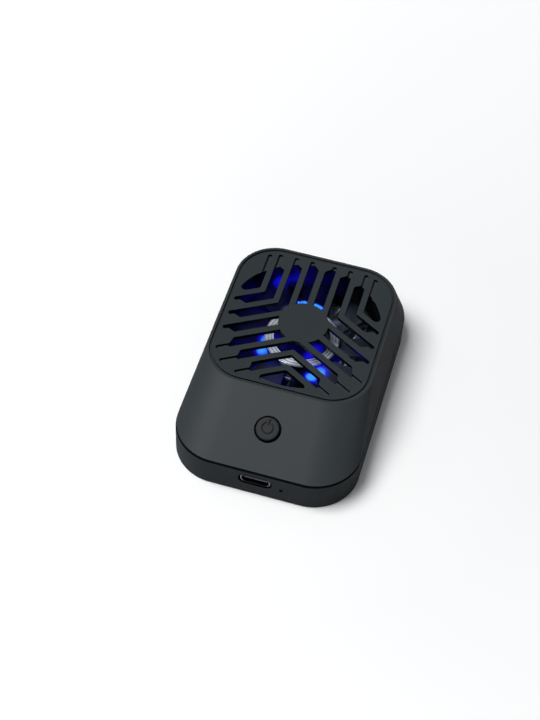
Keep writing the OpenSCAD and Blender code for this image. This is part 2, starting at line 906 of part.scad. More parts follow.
module power_button() {
    cap_h = button_proud - flange_top;
    color(shell_colour)
        on_slope() {
            rotate_extrude()
                polygon(concat(
                    [[0, stem_bottom], [plunger_r, stem_bottom], [plunger_r, flange_bottom]],
                    [[button_flange_r, flange_bottom], [button_flange_r, flange_top]],
                    [[button_r, flange_top]],
                    [for (a = [0 : edge_step : 90])
                        [button_r - button_edge_r * (1 - cos(a)),
                            flange_top + cap_h - button_edge_r * (1 - sin(a))]],
                    [[0, button_proud]]
                ));
        }
}

module switch_plunger() {
    color("white")
        on_slope()
            translate([0, 0, switch_top - plunger_len])
                cylinder(h = 2 * plunger_len, r = plunger_r);
}

module switch_body() {
    pocket = plunger_len + button_travel + run_gap / 2;
    color(dark_colour)
        on_slope()
            difference() {
                translate([-switch_w / 2, -switch_w / 2, switch_bottom])
                    cube([switch_w, switch_w, switch_h]);
                translate([0, 0, switch_top - pocket])
                    cylinder(h = pocket + past, r = plunger_r + shaft_clear);
            }
}

module button_board() {
    color(board_colour)
        on_slope()
            difference() {
                translate([0, 0, button_board_bottom])
                    linear_extrude(button_board_t)
                        rounded_rect(button_board_w, button_board_d, button_post_r);
                for (x = [-1, 1]) {
                    translate([x * post_x, 0, button_board_bottom - past])
                        cylinder(h = button_board_t + 2 * past, r = screw_r + screw_clear);
                }
            }
}

module button_board_screws() {
    color(steel_colour)
        on_slope()
            for (x = [-1, 1]) {
                translate([x * post_x, 0, button_board_bottom])
                    rotate([180, 0, 0])
                        screw(button_board_t + button_bite);
            }
}

module main_board() {
    color(board_colour)
        difference() {
            translate([0, 0, board_z])
                linear_extrude(board_t)
                    intersection() {
                        translate([0, board_front_y + board_d / 2])
                            rounded_rect(board_w, board_d, screw_r);
                        base_outline(base_wall + board_gap);
                    }
            at_board_screws(board_z - past)
                cylinder(h = board_t + 2 * past, r = screw_r + screw_clear);
            at_housing_screws(board_z - past)
                cylinder(h = board_t + 2 * past, r = boss_r + board_gap);
        }
}

module board_screws() {
    color(steel_colour)
        at_board_screws(board_top_z)
            screw(board_t + board_bite);
}

// Box on the main board, placed from the board's front edge
module on_board(place, size) {
    translate([place[0] - size[0] / 2, board_front_y + place[1] - size[1] / 2, board_top_z])
        cube(size);
}

module board_components() {
    color(dark_colour) {
        on_board(coil_place, [coil_w, coil_w, coil_h]);
        on_board(chip_place, [chip_w, chip_d, chip_h]);
        translate([cap_place[0], board_front_y + cap_place[1], board_top_z])
            cylinder(h = cap_h, r = cap_r);
        for (i = [-1 : 1]) {
            on_board([i * plug_pitch, plug_y], [plug_w, plug_d, plug_h]);
        }
    }
}

module usb_shell() {
    color(metal_colour)
        translate([0, usb_front_y, usb_z])
            rotate([-90, 0, 0])
                linear_extrude(usb_len)
                    difference() {
                        stadium(usb_w, usb_h);
                        stadium(usb_w - 2 * usb_t, usb_h - 2 * usb_t);
                    }
}

module usb_insert() {
    color(dark_colour) {
        translate([0, usb_back_y - usb_block_len, usb_z])
            rotate([-90, 0, 0])
                linear_extrude(usb_block_len)
                    stadium(usb_w - 2 * usb_t, usb_h - 2 * usb_t);
        translate([-tongue_w / 2, usb_back_y - usb_block_len - tongue_len, usb_z - tongue_t / 2])
            cube([tongue_w, tongue_len + slab, tongue_t]);
    }
}

module indicator_led() {
    color(lamp_colour)
        translate([led_x - led_w / 2, led_y, board_top_z])
            cube([led_w, led_d, led_h]);
}

module indicator_lens() {
    color(lamp_colour)
        translate([led_x, -base_d / 2 + usb_recess, led_z])
            rotate([-90, 0, 0])
                cylinder(h = led_y + base_d / 2 - usb_recess, r = lens_r);
}

module contact_pad() {
    color(pad_colour)
        at_fan()
            cylinder(h = pad_t, r = window_r - window_gap);
}

module cold_plate() {
    color(metal_colour)
        at_fan() {
            translate([0, 0, pad_t])
                cylinder(h = module_z - pad_t, r = window_r - window_gap);
            translate([0, 0, floor_t])
                cylinder(h = flange_t, r = flange_r);
        }
}

// Square plate of the cooling module at a height
module module_plate(z, t) {
    color(ceramic_colour)
        at_fan(z)
            translate([-module_w / 2, -module_w / 2])
                cube([module_w, module_w, t]);
}

module module_cold_face() {
    module_plate(module_z, ceramic_t);
}

module module_hot_face() {
    module_plate(sink_z - ceramic_t, ceramic_t);
}

module module_pellets() {
    pitch = module_w / pellet_count;
    side = pitch * pellet_fill;
    first = (pitch - side - module_w) / 2;
    color(steel_colour)
        at_fan(module_z + ceramic_t)
            for (i = [0 : pellet_count - 1], j = [0 : pellet_count - 1]) {
                translate([first + i * pitch, first + j * pitch])
                    cube([side, side, pellet_h]);
            }
}

module foam_gasket() {
    hole = module_w + 2 * foam_gap;
    color(pad_colour)
        at_fan(module_z)
            difference() {
                cylinder(h = module_t, r = foam_r);
                translate([-hole / 2, -hole / 2, -past])
                    cube([hole, hole, module_t + 2 * past]);
                translate([-foam_channel_w / 2, -base_d, -past])
                    cube([foam_channel_w, base_d, module_t + 2 * past]);
            }
}

module magnet_segments() {
    step = 360 / magnet_count;
    color(metal_colour)
        at_fan(floor_t)
            for (i = [0 : magnet_count - 1]) {
                rotate(i * step)
                    rotate_extrude(angle = step - magnet_gap_deg)
                        translate([magnet_in_r, 0])
                            square([magnet_out_r - magnet_in_r, magnet_t]);
            }
}

module magnet_shield() {
    color(steel_colour)
        at_fan(floor_t + magnet_t)
            ring(magnet_out_r, magnet_in_r, shield_t);
}

module heat_sink() {
    color(metal_colour)
        difference() {
            at_fan(sink_z)
                union() {
                    linear_extrude(sink_t)
                        rounded_rect(2 * sink_half, 2 * sink_half, sink_corner_r);
                    for (i = [0 : fin_count - 1]) {
                        translate([i * fin_pitch - fin_span / 2 - fin_t / 2, sink_corner_r - sink_half, 0])
                            cube([fin_t, 2 * (sink_half - sink_corner_r), sink_t + fin_h]);
                    }
                }
            at_legs(sink_z - past)
                cylinder(h = sink_t + 2 * past, r = screw_r + screw_clear);
            at_housing_screws(sink_z - past)
                cylinder(h = total_h, r = boss_r + run_gap);
        }
}

module fan_frame() {
    color(dark_colour)
        difference() {
            union() {
                at_fan(frame_z) {
                    cylinder(h = frame_t, r = motor_plate_r);
                    cylinder(h = tube_top_z - frame_z, r = tube_r);
                    for (deg = [45, 135]) {
                        rotate(deg)
                            translate([-leg_xy * sqrt(2), -arm_w / 2, 0])
                                cube([2 * leg_xy * sqrt(2), arm_w, frame_t]);
                    }
                }
                at_legs(fin_z)
                    cylinder(h = fan_board_z - fin_z, r = leg_r);
            }
            at_fan(thrust_z)
                cylinder(h = total_h, r = bearing_r);
            at_legs(fin_z - past)
                cylinder(h = total_h, r = screw_r + screw_clear);
        }
}

module fan_board() {
    color(board_colour)
        at_fan(fan_board_z)
            ring(fan_board_r, tube_r + shaft_clear, fan_board_t);
}

module fan_lights() {
    color(blue_colour)
        at_fan(light_z)
            for (i = [0 : light_count - 1]) {
                rotate(light_turn + i * 360 / light_count)
                    translate([light_r - light_w / 2, -light_len / 2, 0])
                        cube([light_w, light_len, light_h]);
            }
}

// Pie slice about the Z axis, centred on +X
module pie(r, deg) {
    polygon(concat([[0, 0]], [for (s = [-1 : 0.5 : 1]) polar(r / cos(deg / 8), s * deg / 2)]));
}

module stator_core() {
    core_r = tube_r + shaft_clear;
    color(steel_colour)
        at_fan(stator_z)
            linear_extrude(stator_h)
                difference() {
                    union() {
                        circle(core_r + shoe_t);
                        for (i = [0 : pole_count - 1]) {
                            rotate(i * 360 / pole_count) {
                                translate([0, -neck_w / 2])
                                    square([stator_r - shoe_t / 2, neck_w]);
                                intersection() {
                                    pie(stator_r, shoe_deg);
                                    difference() {
                                        circle(stator_r);
                                        circle(stator_r - shoe_t);
                                    }
                                }
                            }
                        }
                    }
                    circle(core_r);
                }
}

module stator_coils() {
    from = tube_r + shaft_clear + shoe_t + winding_t;
    length = stator_r - shoe_t - winding_t / 2 - from;
    color(copper_colour)
        at_fan(stator_z)
            for (i = [0 : pole_count - 1]) {
                rotate(i * 360 / pole_count)
                    difference() {
                        translate([from, -neck_w / 2 - winding_t, -winding_t])
                            cube([length, neck_w + 2 * winding_t, stator_h + 2 * winding_t]);
                        translate([from - past, -neck_w / 2, 0])
                            cube([length + 2 * past, neck_w, stator_h]);
                    }
            }
}

module shaft_bearing() {
    color(copper_colour)
        at_fan(bearing_z)
            ring(bearing_r, shaft_r + shaft_clear, bearing_len);
}

module thrust_pad() {
    color("ivory")
        at_fan(thrust_z)
            cylinder(h = thrust_t, r = clip_r);
}

module fan_shaft() {
    color(steel_colour)
        at_fan(shaft_z)
            cylinder(h = hub_top_z - shaft_z, r = shaft_r);
}

module shaft_clip() {
    color("ivory")
        at_fan(clip_z)
            ring(clip_r, shaft_r, clip_t);
}

// Arched sheet along X, which passes through the origin at the blades' slope
module blade_sheet(length) {
    translate([0, -blade_arch_r * sin(blade_pitch), -blade_arch_r * cos(blade_pitch)])
        rotate([0, 90, 0])
            difference() {
                cylinder(h = length, r = blade_arch_r + blade_t / 2);
                translate([0, 0, -past])
                    cylinder(h = length + 2 * past, r = blade_arch_r - blade_t / 2);
            }
}

// One blade: a piece of the arched sheet that widens from the hub to the tip
module blade() {
    length = rotor_r;
    root_x = hub_inside_r - past;
    tip_x = rotor_r - root_x;
    intersection() {
        translate([root_x, 0])
            rotate(blade_lean)
                intersection() {
                    blade_sheet(length);
                    translate([0, 0, -blade_arch_r / 2])
                        linear_extrude(blade_arch_r)
                            polygon([
                                [0, -blade_root_half], [tip_x, -blade_tip_half], [length, -blade_tip_half],
                                [length, blade_tip_half], [tip_x, blade_tip_half], [0, blade_root_half]
                            ]);
                }
        translate([0, 0, -blade_arch_r / 2])
            cylinder(h = blade_arch_r, r = rotor_r);
    }
}

module impeller() {
    color(smoke_colour)
        at_fan()
            difference() {
                union() {
                    translate([0, 0, hub_z])
                        cylinder(h = hub_top_z - hub_z, r = hub_r);
                    for (i = [0 : blade_count - 1]) {
                        rotate(i * 360 / blade_count)
                            translate([0, 0, blade_mid_z])
                                blade();
                    }
                }
                rotate_extrude()
                    polygon([
                        [0, hub_z - past], [hub_inside_r, hub_z - past], [hub_inside_r, yoke_top_z],
                        [hub_boss_r, yoke_top_z], [hub_boss_r, tube_top_z + run_gap],
                        [shaft_r, tube_top_z + run_gap], [shaft_r, total_h], [0, total_h]
                    ]);
            }
}

module hub_ring() {
    color(metal_colour)
        at_fan(hub_top_z)
            ring(hub_r - ring_margin, hub_r - ring_margin - ring_w, ring_t);
}

module rotor_yoke() {
    color(steel_colour)
        at_fan()
            rotate_extrude()
                polygon([
                    [hub_boss_r + shaft_clear, yoke_top_z - yoke_t], [yoke_inside_r, yoke_top_z - yoke_t],
                    [yoke_inside_r, hub_z + run_gap], [hub_inside_r, hub_z + run_gap],
                    [hub_inside_r, yoke_top_z], [hub_boss_r + shaft_clear, yoke_top_z]
                ]);
}

module rotor_magnet() {
    color(dark_colour)
        at_fan(stator_z)
            ring(yoke_inside_r, yoke_inside_r - rotor_magnet_t, stator_h);
}

module fan_screws() {
    color(steel_colour)
        at_legs(fan_board_z)
            screw(fan_board_z - sink_z + fan_bite);
}

module housing_screws() {
    color(steel_colour)
        at_housing_screws(screw_seat_z)
            rotate([180, 0, 0])
                screw(boss_z - screw_seat_z + housing_bite);
}

// Triangles between rings of equal size, with both ends closed
function tube_faces(rings, sides) = concat(
    [for (j = [0 : rings - 2], k = [0 : sides - 1])
        [j * sides + k, (j + 1) * sides + k, j * sides + (k + 1) % sides]],
    [for (j = [0 : rings - 2], k = [0 : sides - 1])
        [j * sides + (k + 1) % sides, (j + 1) * sides + k, (j + 1) * sides + (k + 1) % sides]],
    [[for (k = [0 : sides - 1]) k]],
    [[for (k = [sides - 1 : -1 : 0]) (rings - 1) * sides + k]]
);

// Direction of a route at one of its points
function heading(path, i) =
    i == 0 ? unit(path[1] - path[0]) :
    i == len(path) - 1 ? unit(path[i] - path[i - 1]) :
    unit(unit(path[i] - path[i - 1]) + unit(path[i + 1] - path[i]));

// Ring of points around a lead at one point of its route
function lead_ring(path, i, r) =
    let (side = [1, 0, 0])
    let (up = unit(cross(heading(path, i), side)))
    [for (k = [0 : lead_sides - 1])
        path[i] + r * (cos(k * 360 / lead_sides) * side + sin(k * 360 / lead_sides) * up)];

// Round lead at one place along X, from its first points over a bend to the back of its plug
module lead(x, start, bend, r) {
    route = concat(start, [for (p = bend) [plug_back_y + p[0], p[1]]], [[plug_back_y, plug_mid_z]]);
    path = [for (p = route) [x, p[0], p[1]]];
    points = [for (i = [0 : len(path) - 1]) each lead_ring(path, i, r)];
    polyhedron(points, tube_faces(len(path), lead_sides), convexity = 6);
}

module module_leads() {
    start = [fan_y - module_w / 2, module_lead_z];
    for (side = [-1, 1]) {
        color(side < 0 ? "red" : "black")
            lead(side * module_lead_x, [start], module_lead_bend, module_lead_r);
    }
}

module fan_lead() {
    start_y = fan_y - reach(plug_pitch - signal_lead_r, motor_plate_r) - slab;
    color(lead_colour)
        lead(plug_pitch, [[start_y, fan_lead_z]], fan_lead_bend, signal_lead_r);
}

module button_lead() {
    along = [cos(slope_deg), sin(slope_deg)];
    inward = [sin(slope_deg), -cos(slope_deg)];
    board_edge = button_s + button_board_d / 2 + slab;
    board_mid = -button_board_bottom - button_board_t / 2;
    start = [-base_d / 2, seam_z] + board_edge * along + board_mid * inward;
    color(lead_colour)
        lead(-plug_pitch, [start, start + along], button_lead_bend, signal_lead_r);
}

base_shell();
upper_housing();
grille_plate();
power_button();
switch_plunger();
switch_body();
button_board();
button_board_screws();
main_board();
board_components();
board_screws();
usb_shell();
usb_insert();
indicator_led();
indicator_lens();
contact_pad();
cold_plate();
module_cold_face();
module_pellets();
module_hot_face();
foam_gasket();
magnet_segments();
magnet_shield();
heat_sink();
fan_frame();
fan_board();
fan_lights();
stator_core();
stator_coils();
shaft_bearing();
thrust_pad();
fan_shaft();
shaft_clip();
impeller();
hub_ring();
rotor_yoke();
rotor_magnet();
fan_screws();
housing_screws();
module_leads();
fan_lead();
button_lead();
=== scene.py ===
import json
import math

import bmesh
import bpy
from mathutils import Matrix, Vector


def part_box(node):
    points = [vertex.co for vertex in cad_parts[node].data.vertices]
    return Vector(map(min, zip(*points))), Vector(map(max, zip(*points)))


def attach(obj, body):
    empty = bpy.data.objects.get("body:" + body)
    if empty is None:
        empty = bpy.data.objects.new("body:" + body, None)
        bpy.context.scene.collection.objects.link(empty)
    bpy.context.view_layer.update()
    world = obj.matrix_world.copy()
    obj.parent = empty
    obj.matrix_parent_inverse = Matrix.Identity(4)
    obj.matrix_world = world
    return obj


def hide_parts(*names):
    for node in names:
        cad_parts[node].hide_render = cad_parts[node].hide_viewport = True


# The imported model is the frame. Meshes are drawn in its millimetres and scaled to metres.
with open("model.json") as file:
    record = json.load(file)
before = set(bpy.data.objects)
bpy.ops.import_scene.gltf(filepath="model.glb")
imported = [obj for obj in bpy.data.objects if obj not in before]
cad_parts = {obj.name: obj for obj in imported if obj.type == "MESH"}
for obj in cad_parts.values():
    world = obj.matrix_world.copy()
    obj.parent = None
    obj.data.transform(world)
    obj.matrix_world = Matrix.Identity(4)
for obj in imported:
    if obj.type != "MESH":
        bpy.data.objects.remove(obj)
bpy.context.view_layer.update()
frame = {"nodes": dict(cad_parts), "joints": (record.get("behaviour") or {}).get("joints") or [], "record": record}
nodes = frame["nodes"]
joints = {joint["name"]: joint for joint in frame["joints"]}
slot_of = {part["node"]: part["material_slot"] for part in frame["record"]["subparts"]}
scene = bpy.context.scene
MM = 0.001

# Housing sizes in millimetres that the frame's boxes don't give
BASE_CORNER = 14.0
BASE_WALL = 1.8
BASE_EDGE = 0.5
FLOOR_T = 0.8
SEAM_GAP = 0.45
SEAM_EDGE = 0.08
LIP_GAP = 0.1
TOP_CORNER = 12.5
RIM_W = 0.9
RIM_EDGE = 0.4
RIM_INNER_EDGE = 0.12
PLATE_GAP = 0.15
PLATE_T = 0.9
PLATE_LIP_T = 0.3
REVEAL_W = 0.6
BAR_GAP = 0.3
PLATE_EDGE = 0.13
SIDE_TILT = 0.4
HOUSING_WALL = 1.6
LEDGE_T = 1.2
DUCT_WALL = 1.2
RUN_GAP = 0.3
TIP_GAP = 0.7
MOUTH_EDGE = 0.15

# Exhaust slots in the back wall
VENT_COUNT = 9
VENT_PITCH = 3.0
VENT_HALF = (0.9, 1.6)
VENT_Z = 6.5

# Push button on the sloping front, measured from the face
BUTTON_UP = 13.4
BUTTON_R = 3.4
BUTTON_GAP = 0.45
BUTTON_PROUD = 1.2
BUTTON_EDGE = 0.4
BUTTON_DISH = 0.05
DISH_CURVE = ((0.6, 0.7), (0, 1))
FLANGE_R = 4.55
FLANGE_TOP = -1.7
FLANGE_BOTTOM = -2.5
STEM_R = 1.0
STEM_BOTTOM = -3.1
SIGN_UP = 0.18
SIGN_R = 1.62
SIGN_LINE = 0.46
SIGN_GAP_DEG = 26
SIGN_TURN = math.radians(-5)
SIGN_BAR = (0.75, 2.7)
SIGN_DEPTH = 0.3

# Charging socket
SOCKET_SHEET = 0.3
SOCKET_GAP = 0.55
SOCKET_LIP = 0.14
SOCKET_PAINTED_SHINE = (3.2, 4.4)
TONGUE_HALF = (3.345, 0.35)
TONGUE_LEN = 5.2
BLOCK_LEN = 1.6
CONTACT_COUNT = 12
CONTACT_PITCH = 0.5
CONTACT_SIZE = (0.26, 2.6, 0.04)
LENS_GAP = 0.05
LENS_EDGE = 0.15
HOLES_HALF = 10.0

# Fan
HUB_WALL = 1.0
HUB_CAP = 0.5
HUB_EDGE = 0.25
HUB_BOSS_R = 2.2
SHAFT_R = 0.75
BLADE_COUNT = 9
BLADE_T = 0.7
BLADE_ROUND = 0.21
BLADE_CREASE = math.radians(60)
BLADE_ARCH = 30.0
BLADE_PITCH = math.radians(15)
BLADE_LEAN = math.radians(20)
BLADE_HALF = (2.9, 5.4)
BLADE_DROP = 1.4
BLADE_ROOT_IN = 2.0
TRIM_W = 2.75
TRIM_MARGIN = 0.15
TRIM_EDGE = 0.1
RING_LINE_MM = 0.92
EDGE_LINE = 0.3

# Underside
PAD_EDGE = 0.12
WINDOW_GAP = 0.15
HEAD_CLEAR = 0.2
HEAD_R = 1.7
HEAD_H = 0.9
SHANK_R = 0.9
CROSS = (0.42, 2.0, 0.55)

# Fineness of the meshes
ARC_STEPS = 20
EDGE_STEPS = 5
LATHE_STEPS = 96
BLADE_STEPS = (12, 14)
BLADE_ROUND_STEPS = 2
PLATE_EDGE_STEPS = 3
BISECTIONS = 40

# Reach of a cutter past a face, distances that count as none, and most sides of a slit
PAST = 1.0
WELD = 0.0001
MERGE = 0.001
TOUCH = 0.02
SLIT_SIDES = 4


# Places from the frame

def box_mm(node):
    """Lowest and highest corner of a CAD node in millimetres."""
    low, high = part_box(node)
    return low / MM, high / MM


def welded(node):
    """Editable mesh of a CAD node, with points that coincide merged."""
    bm = bmesh.new()
    bm.from_mesh(nodes[node].data)
    bmesh.ops.remove_doubles(bm, verts=bm.verts, dist=MERGE * MM)
    return bm


def solids_of(node):
    """Lowest and highest corner of each separate solid of a CAD node, in millimetres."""
    bm = welded(node)
    left, found = set(bm.verts), []
    while left:
        stack, island = [left.pop()], []
        while stack:
            vert = stack.pop()
            island.append(vert.co / MM)
            near = {edge.other_vert(vert) for edge in vert.link_edges} & left
            left -= near
            stack.extend(near)
        found.append([Vector(pick(p[i] for p in island) for i in range(3)) for pick in (min, max)])
    bm.free()
    return sorted(found, key=lambda corners: tuple(corners[0]))


base_high = box_mm("base_shell")[1]
shell_low, shell_high = box_mm("upper_housing")
plate_low, plate_high = box_mm("grille_plate")
trim_low, trim_high = box_mm("hub_ring")
socket_low, socket_high = box_mm("usb_shell")
lens_low, lens_high = box_mm("indicator_lens")
pad_low, pad_high = box_mm("contact_pad")

fan_y = (plate_low.y + plate_high.y) / 2
seam_z = base_high.z + SEAM_GAP / 2
total_h = shell_high.z
loft_z = total_h - RIM_EDGE
ledge_z = plate_high.z - PLATE_T
ceiling_z = ledge_z - LEDGE_T
lip_z = shell_low.z
top_half = (plate_high.x + PLATE_GAP + RIM_W, plate_high.y - fan_y + PLATE_GAP + RIM_W)
rotor_r = box_mm("impeller")[1].x
duct_r = rotor_r + TIP_GAP
hub_r = trim_high.x + TRIM_MARGIN
hub_boss_z = box_mm("shaft_bearing")[1].z + RUN_GAP
hub_low_z = box_mm("fan_lights")[0].z + RUN_GAP
duct_z = box_mm("fan_board")[0].z + RUN_GAP

# Frame on the sloping front at the button, with +Z out of the face
slope_out = -Vector(joints["button_press"]["axis"]).normalized()
slope_up = slope_out.cross(Vector((1, 0, 0)))
button_at = Vector((0, -base_high.y, seam_z)) + BUTTON_UP * slope_up
slope_turn = Matrix((Vector((1, 0, 0)), slope_up, slope_out)).transposed()
SLOPE = Matrix.Translation(button_at) @ slope_turn.to_4x4()
TO_BUTTON = SLOPE.inverted()
SLOPE_SIN = slope_up.z

FRONT = Matrix.Rotation(math.radians(90), 4, "X")
BACK = Matrix.Rotation(math.radians(-90), 4, "X")
BELOW = Matrix.Rotation(math.radians(180), 4, "X")
FAN = Matrix.Translation((0, fan_y, 0))


def at(x, y, z, turn=Matrix()):
    """Place of a shape that is drawn about the origin."""
    return Matrix.Translation((x, y, z)) @ turn


# Shapes: each returns points and faces in millimetres

def lerp(a, b, share):
    return a + (b - a) * share


def quarter(radius):
    """Inset and height of points along a rounded edge, from its side to its top."""
    turns = [math.radians(90 * i / EDGE_STEPS) for i in range(EDGE_STEPS + 1)]
    return [(radius * (1 - math.cos(a)), radius * math.sin(a)) for a in turns]


SIDES = ((1, 1), (-1, 1), (-1, -1), (1, -1))
TURNS = [(side, math.radians(90 * (turn + i / ARC_STEPS)))
         for turn, side in enumerate(SIDES) for i in range(ARC_STEPS + 1)]


def outline(half_w, half_d, corner, centre_y, z):
    """Ring of points along a rectangle with rounded corners."""
    ring = []
    for (side_x, side_y), a in TURNS:
        x = side_x * (half_w - corner) + corner * math.cos(a)
        y = side_y * (half_d - corner) + corner * math.sin(a)
        ring.append((x, centre_y + y, z))
    return ring


def base_ring(z, inset=0.0):
    return outline(base_high.x - inset, base_high.y - inset, BASE_CORNER - inset, 0, z)


def top_ring(z, inset=0.0):
    return outline(top_half[0] - inset, top_half[1] - inset, TOP_CORNER - inset, fan_y, z)


def loft_ring(z, inset=0.0):
    """Outline of the upper housing at a height, on the way from the base to the top face."""
    share = (z - seam_z) / (loft_z - seam_z)
    half_w = lerp(base_high.x, top_half[0], share) - inset
    half_d = lerp(base_high.y, top_half[1], share) - inset
    return outline(half_w, half_d, lerp(BASE_CORNER, TOP_CORNER, share) - inset, fan_y * share, z)


def rim_rings():
    """Rounded upper edge of the loft, which sets out along the loft's own slope."""
    rings = [[] for _ in range(EDGE_STEPS + 1)]
    for (_, a), low, high in zip(TURNS, base_ring(seam_z), top_ring(loft_z)):
        out = Vector((math.cos(a), math.sin(a), 0))
        run = (Vector(low) - Vector(high)).dot(out)
        start = math.atan2(run, loft_z - seam_z)
        for j, ring in enumerate(rings):
            turn = lerp(start, math.pi / 2, j / EDGE_STEPS)
            point = Vector(high) - RIM_EDGE * (1 - math.cos(turn)) * out
            ring.append((point.x, point.y, loft_z + RIM_EDGE * math.sin(turn)))
    return rings


def hollow_ring(z):
    """Outline of the hollow in the upper housing, a wall's thickness inside the loft."""
    share = (z - seam_z) / (loft_z - seam_z)
    front = lerp(-base_high.y, fan_y - top_half[1], share) + HOUSING_WALL / SLOPE_SIN
    back = lerp(base_high.y, fan_y + top_half[1], share) - HOUSING_WALL
    half_w = lerp(base_high.x, top_half[0], share) - HOUSING_WALL
    corner = lerp(BASE_CORNER, TOP_CORNER, share) - HOUSING_WALL
    return outline(half_w, (back - front) / 2, corner, (back + front) / 2, z)


def skin(rings, closed=False):
    """Faces over rings of equal length, with flat ends or with the last ring joined to the first."""
    count, total = len(rings[0]), len(rings)
    points = [point for ring in rings for point in ring]
    faces = []
    for j in range(total if closed else total - 1):
        here, there = j * count, (j + 1) % total * count
        for k in range(count):
            after = (k + 1) % count
            faces.append((here + k, here + after, there + after, there + k))
    if not closed:
        faces.append(tuple(reversed(range(count))))
        faces.append(tuple(range((total - 1) * count, total * count)))
    return points, faces


def lathe(profile, closed=False, steps=LATHE_STEPS):
    """Solid of revolution about Z from radius and height pairs."""
    turns = [2 * math.pi * i / steps for i in range(steps)]
    return skin([[(r * math.cos(a), r * math.sin(a), z) for a in turns] for r, z in profile], closed)


def rod(radius, low, high):
    """Round rod about Z between two heights."""
    return lathe([(0, low), (radius, low), (radius, high), (0, high)])


def block(size):
    """Box about the origin."""
    half = [s / 2 for s in size]
    return skin([[(x * half[0], y * half[1], z * half[2]) for x, y in SIDES] for z in (-1, 1)])


def mouth(half_w, half_h, depth, edge=MOUTH_EDGE):
    """Cutter for a hole with round ends and a rounded edge, going down from the face at z = 0."""
    corner = min(half_w, half_h)
    rings = [outline(half_w, half_h, corner, 0, -depth)]
    for inset, rise in quarter(edge):
        rings.append(outline(half_w + inset, half_h + inset, corner + inset, 0, rise - edge))
    rings.append(outline(half_w + edge, half_h + edge, corner + edge, 0, PAST))
    return skin(rings)


# Objects

def add_object(name, bm):
    """Object from an editable mesh, with its points welded and its faces turned outwards."""
    bmesh.ops.remove_doubles(bm, verts=bm.verts, dist=WELD * MM)
    bmesh.ops.recalc_face_normals(bm, faces=bm.faces)
    mesh = bpy.data.meshes.new(name)
    bm.to_mesh(mesh)
    bm.free()
    obj = bpy.data.objects.new(name, mesh)
    scene.collection.objects.link(obj)
    return obj


def add_mesh(name, parts):
    """Object made of shapes, each with its place."""
    bm = bmesh.new()
    for (points, faces), place in parts:
        verts = [bm.verts.new((place @ Vector(point)) * MM) for point in points]
        for face in faces:
            bm.faces.new([verts[i] for i in face])
    return add_object(name, bm)


def evaluated_mesh(obj):
    """Mesh of an object with its modifiers or its curve worked out."""
    graph = bpy.context.evaluated_depsgraph_get()
    return bpy.data.meshes.new_from_object(obj.evaluated_get(graph))


def apply_modifiers(obj):
    mesh = evaluated_mesh(obj)
    obj.modifiers.clear()
    obj.data = mesh


def combine(obj, parts, operation="DIFFERENCE"):
    """Cuts shapes out of an object or unites them with it, and closes the slits that this leaves."""
    tool = add_mesh("tool", parts)
    boolean = obj.modifiers.new("shape", "BOOLEAN")
    boolean.operation = operation
    boolean.solver = "EXACT"
    boolean.object = tool
    apply_modifiers(obj)
    bpy.data.objects.remove(tool)
    bm = bmesh.new()
    bm.from_mesh(obj.data)
    bmesh.ops.remove_doubles(bm, verts=bm.verts, dist=MERGE * MM)
    bmesh.ops.dissolve_degenerate(bm, edges=bm.edges, dist=MERGE * MM)
    slits = [edge for edge in bm.edges if edge.is_boundary]
    bmesh.ops.holes_fill(bm, edges=slits, sides=SLIT_SIDES)
    bm.to_mesh(obj.data)
    bm.free()


def dress(obj, body, material, slot, *replaced, sharp_deg=32):
    """Smooth shading with sharp creases, a material, and the body that the piece rides on."""
    obj.data.shade_smooth()
    obj.data.set_sharp_from_angle(angle=math.radians(sharp_deg))
    weighted = obj.modifiers.new("weighted", "WEIGHTED_NORMAL")
    weighted.keep_sharp = True
    obj.data.materials.clear()
    obj.data.materials.append(material)
    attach(obj, body)
    if replaced:
        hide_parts(*replaced)


def paint(obj, look, chosen):
    """Another look on the faces that a test chooses by their middle in millimetres and their normal."""
    obj.data.materials.append(look.material)
    index = len(obj.data.materials) - 1
    for face in obj.data.polygons:
        if chosen(face.center / MM, face.normal):
            face.material_index = index


# Materials

NOISE_RANGE = (0.3, 0.7)
GRAIN_DETAIL = 3.0
ROUGH_SWING = 0.06
# One ring of the wave texture at a scale of 1
WAVE_LENGTH = math.pi / 10


